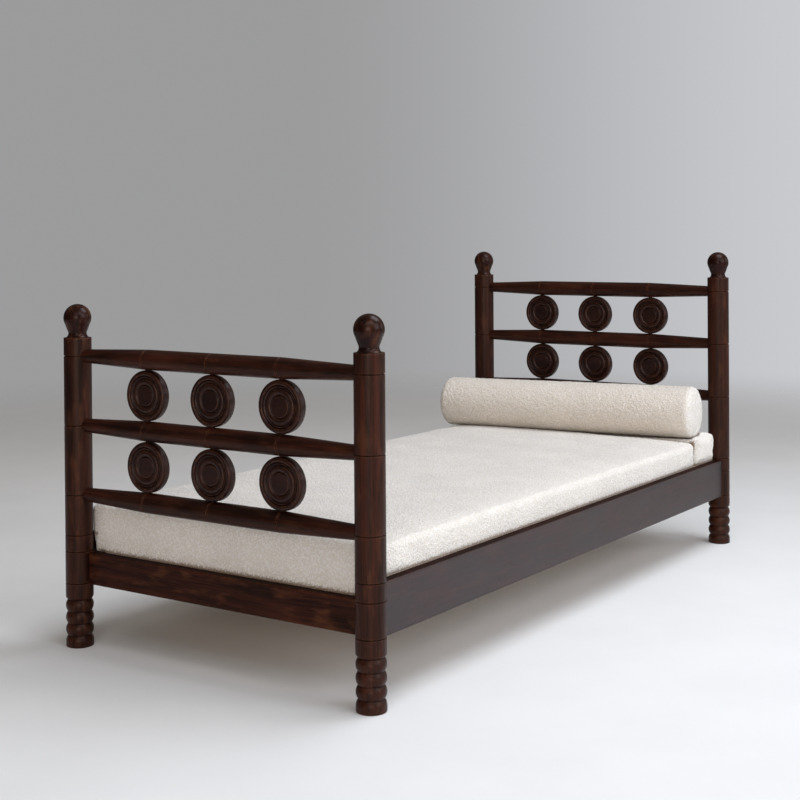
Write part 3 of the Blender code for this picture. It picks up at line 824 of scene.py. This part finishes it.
def wood_material(name, along, tones, wear, patches, gloss, tint, roughness_shift, relief=GRAIN_RELIEF):
    """Wood with its grain along one axis."""
    material = bpy.data.materials.get(name)
    if material:
        return material
    material, tree, shader = new_material(name, specular_ior_level=gloss, specular_tint=tint)
    group = bpy.data.node_groups.get("Wood Grain") or wood_grain_group()
    sockets = {
        "Position": placed(tree, GRAIN_TURNS[along]),
        "Arris": stored(tree, "arris"),
        "Wear": wear,
        "Patches": patches,
    }
    sockets.update(zip(("Dark", "Warm", "Worn"), map(rgba, tones)))
    grain = node_in(tree, "ShaderNodeGroup", sockets, node_tree=group)
    tree.links.new(grain.outputs["Colour"], shader.inputs["Base Color"])
    rough = sums(tree, "ADD", grain.outputs["Roughness"], roughness_shift, clamp=True)
    tree.links.new(rough, shader.inputs["Roughness"])
    bumped(tree, shader, grain.outputs["Height"], GRAIN_DEPTH, relief)
    return material


WARM_GLOSS = (1.0, 0.78, 0.68, 1.0)
SOFT_GLOSS = (1.0, 0.80, 0.78, 1.0)
COOL_GLOSS = (0.98, 0.93, 1.0, 1.0)

# Grain, depth of the warm streaks, wear, thin patches, gloss, its tint, roughness shift, relief
STAINED_FINISHES = {
    "post": ("z", 0.82, 0.25, 0.22, 0.21, WARM_GLOSS, 0.02),
    "finial": ("z", 0.45, 0.10, 0.45, 0.17, SOFT_GLOSS, -0.10, 0.06),
    "rail": ("x", 0.75, 0.45, 0.14, 0.18, WARM_GLOSS, 0.03),
    "disc": ("x", 0.27, 0.35, 0.04, 0.28, SOFT_GLOSS, -0.04),
    "end_board": ("x", 0.90, 0.20, 0.40, 0.12, WARM_GLOSS, 0.12),
    "side_board": ("y", 0.45, 0.10, 0.10, 0.62, COOL_GLOSS, 0.04),
    # The boards' upper faces: less glossy, and darker as painted shade
    "side_board_shaded_top": ("y", 0.30, 0.10, 0.05, 0.05, WARM_GLOSS, 0.30),
    "end_board_top": ("x", 0.60, 0.15, 0.10, 0.04, WARM_GLOSS, 0.30),
}
# Wear, thin patches, gloss, its tint and roughness shift of the slats and ledgers
TIMBER_FINISH = (0.2, 0.2, 0.2, COOL_GLOSS, 0.25)


def stained_wood(kind):
    """The dark stained wood of one kind of piece."""
    finish = bpy.context.scene.daybed_finish
    along, depth, *rest = STAINED_FINISHES[kind]
    dark, warm = Vector(finish.stain_dark), Vector(finish.stain_warm)
    tones = (dark, dark.lerp(warm, depth), finish.stain_worn)
    return wood_material("stained_wood_" + kind, along, tones, *rest)


def pale_timber(along):
    """The plain timber of the slatted base."""
    finish = bpy.context.scene.daybed_finish
    tones = (finish.timber_deep, finish.timber_pale, finish.timber_pale)
    return wood_material("pale_timber_along_" + along, along, tones, *TIMBER_FINISH)


# Repeats in a metre of the marks on the rail bolts
STEEL_MARKS = (900.0, 2600.0, 900.0)


def rail_bolt_steel():
    """Steel with fine turning marks and dull patches."""
    finish = bpy.context.scene.daybed_finish
    material, tree, shader = new_material("rail_bolt_steel", metallic=1.0)
    position = placed(tree)
    marks = noise(tree, vectors(tree, "MULTIPLY", position, STEEL_MARKS), 1.0, 2.0)
    patch = noise(tree, position, 160.0, 3.0)
    tint = mixed(tree, ranged(tree, patch, 0.35, 0.7), rgba(finish.steel), rgba(finish.steel_dull))
    tree.links.new(tint, shader.inputs["Base Color"])
    tree.links.new(ranged(tree, patch, 0.3, 0.7, 0.28, 0.5), shader.inputs["Roughness"])
    bumped(tree, shader, marks, STEEL_DEPTH)
    return material


def looped_cloth():
    """The ivory looped cloth of the cushions."""
    material = bpy.data.materials.get("looped_cloth_cover")
    if material:
        return material
    finish = bpy.context.scene.daybed_finish
    cushions = bpy.context.scene.daybed_cushions
    material, tree, shader = new_material(
        "looped_cloth_cover", roughness=0.95, specular_ior_level=0.15, sheen_weight=0.25,
        sheen_roughness=0.6,
    )
    sockets = {
        "Position": placed(tree),
        "Size": cushions.nub_size * LOOP_SHARE,
        "Shade Band": stored(tree, "shade_band"),
        "Light": rgba(finish.cloth_light),
        "Deep": rgba(finish.cloth_hollow_shade),
        "Shade": rgba(finish.cloth_shade),
    }
    pile = node_in(tree, "ShaderNodeGroup", sockets, node_tree=looped_pile_group())
    # Painted shade on the bolster's side, stored as tan
    cover = mixed(tree, stored(tree, "tan"), pile.outputs["Colour"], rgba(finish.cloth_side_shade))
    tree.links.new(cover, shader.inputs["Base Color"])
    bumped(tree, shader, pile.outputs["Height"], LOOP_DEPTH, LOOP_RELIEF)
    return material


# Soft pieces


CLOTH_QUALITY = 4
# How far down the normal of an underside's face points, and smoothing of the faces that are divided
UNDERSIDE = -0.8
DIVIDED_SMOOTHNESS = 0.6
# Room at the end boards as a share of that at the other neighbours
END_CLEAR = 1.5
# Heights above the side boards between which a cushion comes to bulge over them
BULGE_RISE = (0.001, 0.022)
# Height over which the foot stands straight, and distances from the sides between which it comes to
FOOT_RISE = 0.035
FOOT_ROOM = (0.030, 0.080)
# Reach of the foot's tucked rim, and reach and height of the pulled corners
RIM_REACH = 0.020
CORNER_REACH = 0.060
CORNER_HEIGHT = 0.070
# Share of the room under the bolster that the cloth closes
NESTLE_SHARE = 0.8
# How much narrower the shaded rows are at the seam and the bolster, how strong the latter is, and
# the distances from the bolster's axis between which it sets in
SEAM_SHADE_BAND = 1.5
BOLSTER_SHADE_BAND = 3
BOLSTER_SHADE = 0.5
BOLSTER_CONTACT = (0.004, 0.014)
# Height of the darkest row of the bolster's own painted contact shade, and its width as a share of the
# cushions' one
SHADE_BAND_RISE = 0.002
SHADE_BAND_SHARE = 0.8
# Depth of the bolster's undivided underside and heights over which its low painted shade fades, by its
# radius
BOLSTER_UNDERSIDE = 0.9
LOW_SHADE_FADE = (0.2, 1.6)
# Distances from the bolster's ends between which its painted side shade sets in
END_SHADE_FADE = (0.005, 0.035)


def swollen(obj, cell, sizes):
    """Inflate a closed shape as cloth, and keep each point near where it began."""
    apply_modifier(obj, "even_cells", "REMESH", mode="VOXEL", voxel_size=cell)
    scene = bpy.context.scene
    start = points_of(obj.data)
    select_only(obj)
    cloth = obj.modifiers.new("stuffing", "CLOTH")
    cloth.settings.use_pressure = True
    cloth.settings.uniform_pressure_force = sizes.pressure
    cloth.settings.effector_weights.gravity = 0
    cloth.settings.quality = CLOTH_QUALITY
    cloth.collision_settings.use_collision = False
    cloth.point_cache.frame_start = 1
    cloth.point_cache.frame_end = sizes.frames
    for step in range(1, sizes.frames + 1):
        scene.frame_set(step)
    bpy.ops.object.modifier_apply(modifier=cloth.name)
    scene.frame_set(1)
    moved = points_of(obj.data) - start
    reach = np.linalg.norm(moved, axis=1, keepdims=True)
    kept = np.minimum(1, sizes.swell / np.maximum(reach, WELD_DISTANCE))
    set_points(obj.data, start + moved * kept)


def refine_shown(obj, low):
    """Divide every face that doesn't lie on the underside, below a height."""
    select_only(obj)
    select_faces(obj, lambda face: face.normal.z > UNDERSIDE or face.center.z > low)
    bpy.ops.mesh.subdivide(number_cuts=1, smoothness=DIVIDED_SMOOTHNESS)
    bpy.ops.object.mode_set(mode="OBJECT")


def loop_pile(obj, sizes):
    """Raise the cloth's nubs and its slow unevenness as real shape."""
    layers = {
        "cover_waves": (sizes.sag_size, 1, sizes.sag_height),
        "cover_nubs": (sizes.nub_size, 0, sizes.nub_height),
    }
    for name, (size, depth, height) in layers.items():
        texture = bpy.data.textures.get(name) or bpy.data.textures.new(name, "CLOUDS")
        texture.noise_scale = size
        texture.noise_depth = depth
        apply_modifier(
            obj, name, "DISPLACE", texture=texture, texture_coords="LOCAL",
            strength=height, mid_level=0.5,
        )


def stuffed(obj, cell, low, sizes):
    """Swell a cover, divide what shows of it, raise its loops, and give its points."""
    swollen(obj, cell, sizes)
    refine_shown(obj, low)
    loop_pile(obj, sizes)
    return points_of(obj.data)


def finish_cloth(obj, node):
    """Shade and dress a soft piece that stands for a CAD node."""
    select_only(obj)
    bpy.ops.object.shade_smooth()
    obj.data.materials.clear()
    obj.data.materials.append(looped_cloth())
    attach(obj, node)
    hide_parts(node)


def soft_block(name, low, high, seam, sizes):
    """A block with round corners and top edges, but tight edges below and at its seam."""
    obj = block(name, low, high)
    centre = (low + high) / 2
    half_length = (high.y - low.y) / 2
    near = 10 * WELD_DISTANCE

    def from_seam(a, b):
        return max(abs(a.y - seam), abs(b.y - seam))

    def upright(a, b):
        return (a.z - centre.z) * (b.z - centre.z) < 0 and from_seam(a, b) > half_length

    def top(a, b):
        return min(a.z, b.z) > high.z - near and from_seam(a, b) > half_length

    def bottom(a, b):
        return max(a.z, b.z) < low.z + near

    def sewn(a, b):
        return max(a.z, b.z) > high.z - near and from_seam(a, b) < 2 * sizes.seam

    steps = (
        (upright, sizes.corner),
        (sewn, sizes.seam_edge),
        (top, sizes.edge),
        (bottom, sizes.low_edge),
    )
    for wanted, offset in steps:
        select_edges(obj, wanted)
        bpy.ops.mesh.bevel(offset=offset, segments=CUSHION_SEGMENTS, affect="EDGES")
        bpy.ops.object.mode_set(mode="OBJECT")
    return obj


def smooth_step(values, low, high):
    """0 below low, 1 above high, and a smooth rise between."""
    t = np.clip((values - low) / (high - low), 0, 1)
    return t * t * (3 - 2 * t)


def fading(values, reach):
    """1 below 0, and a smooth fall to 0 over a reach."""
    return 1 - smooth_step(values, 0, reach)


def keep_in_bed(points, low, high, bulge, sizes):
    """Hold a cushion between the boards, off the posts and on its base, free to bulge above them."""
    board_low, board_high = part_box("side_board_right")
    inner = board_low.x - sizes.clear
    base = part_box("mattress")[0].z
    end_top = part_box("end_board_foot")[1].z
    reach = inner + bulge * smooth_step(points[:, 2] - board_high.z, *BULGE_RISE)
    points[:, 0] = np.clip(points[:, 0], -reach, reach)
    points[:, 1] = np.clip(points[:, 1], low, high)
    points[:, 2] = np.maximum(points[:, 2], base)
    straight = (points[:, 1] < low + sizes.edge) * fading(points[:, 2] - end_top, FOOT_RISE)
    straight *= smooth_step(inner - np.abs(points[:, 0]), *FOOT_ROOM)
    points[:, 1] += (low - points[:, 1]) * straight
    rim = fading(points[:, 1] - low, RIM_REACH) * fading(points[:, 2] - end_top, RIM_REACH)
    points[:, 2] = np.maximum(points[:, 2] - sizes.foot_tuck * rim, base)
    cornered = fading(inner - np.abs(points[:, 0]), CORNER_REACH)
    cornered *= fading(points[:, 1] - low, CORNER_REACH)
    cornered *= fading(points[:, 2] - end_top, CORNER_HEIGHT)
    points[:, 0] -= np.sign(points[:, 0]) * sizes.corner_pull * cornered
    radius = span("post_head_left").y / 2 + sizes.clear
    for node in like_nodes("post_"):
        across = points[:, :2] - np.array(middle(node).xy)
        gap = np.linalg.norm(across, axis=1, keepdims=True)
        near = (gap < radius).ravel()
        points[near, :2] += (across * (radius / np.maximum(gap, WELD_DISTANCE) - 1))[near]
    return points


def crowned(points, low, sizes):
    """Let a mattress's top fall towards its sides and its foot."""
    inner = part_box("side_board_right")[0].x
    edge = np.minimum(inner - np.abs(points[:, 0]), points[:, 1] - low)
    bottom, top = (corner.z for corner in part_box("mattress"))
    upper = smooth_step(points[:, 2], (bottom + top) / 2, top - sizes.edge)
    points[:, 2] -= sizes.crown * upper * fading(edge, sizes.crown_reach)
    return points


def mark_points(obj, name, values):
    """Store a share between 0 and 1 on each point."""
    marks = obj.data.attributes.new(name, "FLOAT", "POINT")
    marks.data.foreach_set("value", np.clip(values, 0, 1).astype(np.float32))


def cushion_shade_band(points, low, seam, sizes):
    """Painted contact shade: 1 beside the boards, the seam and the bolster, falling to 0 away from them and
    behind them.
    """
    board_low, board_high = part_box("side_board_right")
    sides = np.abs(points[:, 0]) > board_low.x - 2 * sizes.edge
    foot = points[:, 1] < low + 2 * sizes.edge
    above_side = points[:, 2] - board_high.z
    above_end = points[:, 2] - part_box("end_board_foot")[1].z
    past_seam = np.abs(points[:, 1] - seam) - sizes.seam / 2
    room = under_bolster(points, sizes) - points[:, 2]
    aside = np.abs(from_bolster(points, sizes)[1])
    rows = (
        (above_side, sides),
        (above_end, foot & ~sides),
        (SEAM_SHADE_BAND * past_seam, sides & (above_side > 0)),
        (BOLSTER_SHADE_BAND * room, BOLSTER_SHADE * smooth_step(aside, *BOLSTER_CONTACT)),
    )
    marks = [
        kept * smooth_step(distance, -sizes.shade_band / 2, 0) * fading(distance, sizes.shade_band)
        for distance, kept in rows
    ]
    return np.max(marks, axis=0)


class DAYBED_OT_posts(bpy.types.Operator):
    """Turn the posts with their beaded feet and cut rings"""

    bl_idname = "daybed.posts"
    bl_label = "Turn Posts"

    def execute(self, context):
        sizes = context.scene.daybed_turning
        for end in ENDS:
            pattern = turned("post_pattern", post_outline(end, sizes), sizes.post_sides)
            nodes = like_nodes("post_" + end)
            stand_ins(pattern, "post", {node: (*middle(node).xy, 0) for node in nodes})
        return {"FINISHED"}


class DAYBED_OT_finials(bpy.types.Operator):
    """Turn the ball finials on the posts"""

    bl_idname = "daybed.finials"
    bl_label = "Turn Finials"

    def execute(self, context):
        sizes = context.scene.daybed_turning
        pattern = turned("finial_pattern", finial_outline(sizes), sizes.post_sides)
        places = {}
        for node in like_nodes("finial_"):
            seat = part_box(node.replace("finial", "post"))[1].z
            places[node] = (*middle(node).xy, seat)
        stand_ins(pattern, "finial", places)
        return {"FINISHED"}


class DAYBED_OT_rails(bpy.types.Operator):
    """Turn the rails that taper to the posts"""

    bl_idname = "daybed.rails"
    bl_label = "Turn Rails"

    def execute(self, context):
        sizes = context.scene.daybed_turning
        half = span("rail_head_1").x / 2
        reach = abs(middle("post_head_left").x) - sizes.post_radius
        rings = sorted(middle("disc_head_%d" % number).x for number in (1, 2, 3))
        pattern = turned("rail_pattern", rail_outline(sizes, half, reach, rings), sizes.rail_sides)
        settle(pattern, turn=(0, math.pi / 2, 0))
        nodes = like_nodes("rail_head_") + like_nodes("rail_foot_")
        stand_ins(pattern, "rail", {node: middle(node) for node in nodes})
        return {"FINISHED"}


class DAYBED_OT_discs(bpy.types.Operator):
    """Turn the ringed discs and their pegs"""

    bl_idname = "daybed.discs"
    bl_label = "Turn Discs"

    def execute(self, context):
        sizes = context.scene.daybed_turning
        size = span("disc_head_1")
        pattern = turned("disc_pattern", disc_outline(sizes, size.y / 2), sizes.disc_sides)
        settle(pattern, turn=(math.pi / 2, 0, 0))
        bpy.ops.object.select_all(action="DESELECT")
        bpy.ops.mesh.primitive_cylinder_add(
            vertices=sizes.peg_sides, radius=sizes.peg_radius, depth=size.z
        )
        pegs = named("peg_pattern")
        apply_modifier(pattern, "pegs", "BOOLEAN", operation="UNION", solver="EXACT", object=pegs)
        bpy.data.objects.remove(pegs)
        stand_ins(pattern, "disc", {node: middle(node) for node in like_nodes("disc_")})
        return {"FINISHED"}


class DAYBED_OT_boards(bpy.types.Operator):
    """Plane the side boards and the end boards"""

    bl_idname = "daybed.boards"
    bl_label = "Plane Boards"

    def execute(self, context):
        sizes = context.scene.daybed_turning
        for end in ENDS:
            node = "end_board_" + end
            board = plank("planed_" + node, *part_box(node), sizes.board_ease)
            finish_wood(board, stained_wood("end_board"), node)
            dull_shaded_top(board, stained_wood("end_board_top"))
        for side in SIDES:
            node = "side_board_" + side
            board = plank("planed_" + node, *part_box(node), sizes.board_ease)
            for end in ENDS:
                cutter = nut_pocket(end, side, sizes)
                apply_modifier(
                    board, "pocket", "BOOLEAN", operation="DIFFERENCE", solver="EXACT", object=cutter
                )
                bpy.data.objects.remove(cutter)
            finish_wood(board, stained_wood("side_board"), node)
            dull_shaded_top(board, stained_wood("side_board_shaded_top"))
        return {"FINISHED"}


class DAYBED_OT_base(bpy.types.Operator):
    """Dress the slatted base and the rail bolts"""

    bl_idname = "daybed.base"
    bl_label = "Dress Slatted Base"

    def execute(self, context):
        steel = rail_bolt_steel()
        finishes = {
            "slat_": pale_timber("x"),
            "ledger_": pale_timber("y"),
            "rail_bolt_": steel,
            "rail_nut_": steel,
        }
        for start, material in finishes.items():
            for node in like_nodes(start):
                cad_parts[node].data.materials[0] = material
        return {"FINISHED"}


class DAYBED_OT_mattress(bpy.types.Operator):
    """Stuff the mattress and the head cushion"""

    bl_idname = "daybed.mattress"
    bl_label = "Stuff Mattress"

    def execute(self, context):
        sizes = context.scene.daybed_cushions
        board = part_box("side_board_right")[0].x
        end_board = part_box("end_board_head")[0].y - END_CLEAR * sizes.clear
        seam = (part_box("mattress")[1].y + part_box("head_cushion")[0].y) / 2
        runs = {
            "mattress": (-end_board, seam - sizes.seam / 2, sizes.mattress_cell, sizes.bulge, 0),
            "head_cushion": (
                seam + sizes.seam / 2, end_board, sizes.small_cell, sizes.head_bulge, sizes.head_rise
            ),
        }
        for node, (near, far, cell, bulge, rise) in runs.items():
            low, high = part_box(node)
            half_width = board - sizes.clear + bulge
            start = Vector((-half_width, near + sizes.tuck, low.z))
            end = Vector((half_width, far - sizes.tuck, high.z - sizes.swell + rise))
            cushion = soft_block("cover_" + node, start, end, seam, sizes)
            points = stuffed(cushion, cell, low.z + sizes.low_edge, sizes)
            if node == "mattress":
                points = crowned(points, near, sizes)
            points = keep_in_bed(points, near, far, bulge, sizes)
            room = under_bolster(points, sizes) - points[:, 2]
            points[:, 2] += np.minimum(room, 0)
            points[:, 2] += NESTLE_SHARE * np.maximum(room, 0) * fading(room, sizes.nestle)
            set_points(cushion.data, points)
            # Painted contact shade beside the boards, the seam and the bolster
            mark_points(cushion, "shade_band", cushion_shade_band(points, -end_board, seam, sizes))
            finish_cloth(cushion, node)
        return {"FINISHED"}


def bolster_middle(sizes):
    """The middle of the bolster."""
    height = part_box("bolster")[1].z - sizes.bolster_radius + sizes.bolster_rise
    return Vector((*middle("bolster").xy, height))


def from_bolster(points, sizes):
    """Distances of points along the bolster, aside from its axis and above it."""
    away = points - np.array(bolster_middle(sizes))
    turn = sizes.bolster_turn
    along = away[:, 0] * math.cos(turn) + away[:, 1] * math.sin(turn)
    aside = away[:, 1] * math.cos(turn) - away[:, 0] * math.sin(turn)
    return along, aside, away[:, 2] - along * math.tan(sizes.bolster_tilt)


def under_bolster(points, sizes):
    """How high a cushion may stand under the bolster's round side."""
    along, aside, above = from_bolster(points, sizes)
    dome, edge = sizes.bolster_dome, sizes.bolster_right_edge
    depth = np.where(along < 0, dome, edge)
    over = np.clip((np.abs(along) - sizes.bolster_length / 2) / depth + 1, 0, 1)
    fall = np.where(along < 0, sizes.bolster_radius, edge)
    radius = sizes.bolster_radius - fall * (1 - np.sqrt(1 - over**2))
    radius[over >= 1] = 0
    drop = np.sqrt(np.maximum(radius**2 - aside**2, 0))
    room = points[:, 2] - above - drop - sizes.clear
    return np.where(np.abs(aside) < radius, room, points[:, 2] + 1)


class DAYBED_OT_bolster(bpy.types.Operator):
    """Stuff the bolster"""

    bl_idname = "daybed.bolster"
    bl_label = "Stuff Bolster"

    def execute(self, context):
        sizes = context.scene.daybed_cushions
        turn = sizes.bolster_turn
        radius = sizes.bolster_radius - sizes.swell
        half = sizes.bolster_length / 2 - sizes.swell
        dome, edge = sizes.bolster_dome, sizes.bolster_right_edge
        outline = [(r * radius, dome * (1 + z) - half) for r, z in arc((0, 0), 1, -90, 0, DOME_STEPS)]
        outline[0] = (0, -half)
        outline += arc((radius - edge, half - edge), edge, 0, 90, END_STEPS) + [(0, half)]
        bolster = turned("cover_bolster", outline, BOLSTER_SIDES)
        settle(bolster, turn=(0, math.pi / 2, 0))
        centre = bolster_middle(sizes)
        settle(bolster, place=centre, turn=(0, -sizes.bolster_tilt, turn))
        points = stuffed(bolster, sizes.small_cell, centre.z - BOLSTER_UNDERSIDE * radius, sizes)
        along, aside, above = from_bolster(points, sizes)
        far = np.hypot(aside, above)
        excess = np.where(above < 0, np.maximum(far - sizes.bolster_radius, 0), 0) / far
        points[:, 0] += excess * aside * math.sin(turn)
        points[:, 1] -= excess * aside * math.cos(turn)
        points[:, 2] -= excess * above
        set_points(bolster.data, points)
        height = above + sizes.bolster_radius
        # Painted contact shade along the bolster's lowest rows
        contact = smooth_step(height, 0, SHADE_BAND_RISE)
        contact *= 1 - smooth_step(height, SHADE_BAND_RISE, SHADE_BAND_SHARE * sizes.shade_band)
        mark_points(bolster, "shade_band", contact)
        # Painted shade on the bolster's side, warmer low down and fading at its ends, stored as tan
        low = 1 - smooth_step(height / sizes.bolster_radius, *LOW_SHADE_FADE)
        side = smooth_step(sizes.bolster_length / 2 - np.abs(along), *END_SHADE_FADE)
        mark_points(bolster, "tan", side * (sizes.bolster_side_shade + sizes.bolster_low_shade * low))
        finish_cloth(bolster, "bolster")
        return {"FINISHED"}


class DAYBED_OT_stage(bpy.types.Operator):
    """Set the floor, the light and the camera"""

    bl_idname = "daybed.stage"
    bl_label = "Set Stage"

    def execute(self, context):
        stage = context.scene.daybed_stage
        floor(stage)
        backdrop(stage)
        soft_lights(stage)
        camera(stage)
        context.scene.view_settings.view_transform = "Standard"
        return {"FINISHED"}


def floor(stage):
    """A plain pale floor that fades into the backdrop."""
    bpy.ops.object.select_all(action="DESELECT")
    bpy.ops.mesh.primitive_circle_add(
        vertices=FLOOR_SIDES, radius=stage.floor_radius, fill_type="NGON"
    )
    ground = named("floor")
    material, tree, shader = new_material("floor_paint", roughness=0.85, specular_ior_level=0.2)
    position = tree.nodes.new("ShaderNodeTexCoord").outputs["Object"]
    distance = vectors(tree, "LENGTH", position, output="Value")
    speckle = ranged(tree, noise(tree, position, 3.0, 4.0), 0.3, 0.7, 0.985, 1.015)
    paint = mixed(tree, 1.0, rgba(stage.floor_colour), speckle, "MULTIPLY")
    tree.links.new(paint, shader.inputs["Base Color"])
    fade = ranged(tree, distance, stage.floor_solid, stage.floor_radius, 1.0, 0.0)
    tree.links.new(fade, shader.inputs["Alpha"])
    ground.data.materials.append(material)


# Shares of the view's right direction between which the backdrop goes over to its right colour
BACKDROP_FADE = (-0.08, 0.34)


def backdrop(stage):
    """A soft world light that is strongest from the open side, seen as a plain backdrop."""
    world = bpy.data.worlds.new("backdrop")
    bpy.context.scene.world = world
    world.use_nodes = True
    tree = world.node_tree
    tree.nodes.clear()
    rays = tree.nodes.new("ShaderNodeLightPath").outputs
    seen = sums(tree, "MAXIMUM", rays["Is Camera Ray"], rays["Is Transmission Ray"])
    direction = tree.nodes.new("ShaderNodeTexCoord").outputs["Generated"]
    facing = vectors(tree, "DOT_PRODUCT", direction, stage.fill_side, output="Value")
    strength = ranged(tree, facing, -1.0, 1.0, stage.fill_low, stage.fill)
    sockets = {"Color": rgba(stage.fill_colour), "Strength": strength}
    light = node_in(tree, "ShaderNodeBackground", sockets)
    right = (math.cos(stage.camera_yaw), math.sin(stage.camera_yaw), 0)
    aside = ranged(tree, vectors(tree, "DOT_PRODUCT", direction, right, output="Value"), *BACKDROP_FADE)
    shade = mixed(tree, aside, rgba(stage.backdrop), rgba(stage.backdrop_right))
    shown = node_in(tree, "ShaderNodeBackground", {"Color": shade, "Strength": 1.0})
    both = node_in(tree, "ShaderNodeMixShader", {0: seen, 1: light.outputs[0], 2: shown.outputs[0]})
    out = tree.nodes.new("ShaderNodeOutputWorld")
    tree.links.new(both.outputs[0], out.inputs["Surface"])


def soft_lights(stage):
    """Large soft lights round the bed, most from the right, and a small one for the finials."""
    cool, warm = stage.lamp_colour, stage.fill_colour
    lamps = {
        "key_light": ((5.0, -0.4, 2.5), (0, 0, 0.4), 3.0, stage.key_power, cool),
        "front_light": ((3.2, -6.0, 1.5), (0, 0, 0.4), 2.5, stage.front_power, warm),
        "floor_light": ((1.4, -3.0, 2.6), (1.2, -3.4, 0), 2.0, stage.floor_power, cool),
        "top_light": ((1.2, 0.6, 3.6), (0, 0, 0.4), 2.0, stage.top_power, cool),
        "back_light": ((3.6, 3.6, 2.0), (0.4, 0.6, 0.4), 2.0, stage.back_power, cool),
        "glint_light": ((2.1, -1.7, 3.1), (0, 0, 0.4), 1.1, stage.glint_power, cool),
    }
    for name, (place, aim, size, energy, tint) in lamps.items():
        bpy.ops.object.light_add(type="AREA", location=place)
        lamp = named(name)
        lamp.data.size = size
        lamp.data.energy = energy
        lamp.data.color = tint
        lamp.rotation_euler = (Vector(place) - Vector(aim)).to_track_quat("Z", "Y").to_euler()


def camera(stage):
    """A camera at the photograph's place and angle."""
    yaw, pitch, roll = stage.camera_yaw, stage.camera_pitch, stage.camera_roll
    right = Vector((math.cos(yaw), math.sin(yaw), 0))
    ahead = Vector((-math.sin(yaw), math.cos(yaw), 0))
    up = Vector((0, 0, 1))
    look = ahead * math.cos(pitch) - up * math.sin(pitch)
    rise = up * math.cos(pitch) + ahead * math.sin(pitch)
    across = right * math.cos(roll) + rise * math.sin(roll)
    rise = rise * math.cos(roll) - right * math.sin(roll)
    bpy.ops.object.camera_add()
    view = named("camera")
    turn = Matrix((across, rise, -look)).transposed().to_4x4()
    view.matrix_world = Matrix.Translation(Vector(stage.camera_place)) @ turn
    view.data.sensor_width = stage.sensor
    view.data.lens = stage.lens
    view.data.shift_y = stage.shift
    bpy.context.scene.camera = view


OPERATORS = (
    DAYBED_OT_posts,
    DAYBED_OT_finials,
    DAYBED_OT_rails,
    DAYBED_OT_discs,
    DAYBED_OT_boards,
    DAYBED_OT_base,
    DAYBED_OT_mattress,
    DAYBED_OT_bolster,
    DAYBED_OT_stage,
)


class DAYBED_PT_panel(bpy.types.Panel):
    """Steps and settings of the daybed"""

    bl_idname = "DAYBED_PT_panel"
    bl_label = "Turned Daybed"
    bl_space_type = "VIEW_3D"
    bl_region_type = "UI"
    bl_category = "Daybed"

    def draw(self, context):
        for step in OPERATORS:
            self.layout.operator(step.bl_idname)
        for group in GROUPS:
            settings = getattr(context.scene, group)
            box = self.layout.box()
            for key in settings.bl_rna.properties.keys():
                if key not in ("rna_type", "name"):
                    box.prop(settings, key)


GROUPS = {
    "daybed_turning": DAYBED_PG_turning,
    "daybed_finish": DAYBED_PG_finish,
    "daybed_cushions": DAYBED_PG_cushions,
    "daybed_stage": DAYBED_PG_stage,
}
CLASSES = (*GROUPS.values(), *OPERATORS, DAYBED_PT_panel)


def register():
    """Register the classes and hang the settings on the scene."""
    for kind in CLASSES:
        bpy.utils.register_class(kind)
    for name, group in GROUPS.items():
        setattr(bpy.types.Scene, name, bpy.props.PointerProperty(type=group))


def unregister():
    """Take the settings and classes away again."""
    for name in GROUPS:
        delattr(bpy.types.Scene, name)
    for kind in reversed(CLASSES):
        bpy.utils.unregister_class(kind)


def main():
    """Make every piece and the stage."""
    register()
    bpy.ops.daybed.posts()
    bpy.ops.daybed.finials()
    bpy.ops.daybed.rails()
    bpy.ops.daybed.discs()
    bpy.ops.daybed.boards()
    bpy.ops.daybed.base()
    bpy.ops.daybed.mattress()
    bpy.ops.daybed.bolster()
    bpy.ops.daybed.stage()


if __name__ == "__main__":
    main()
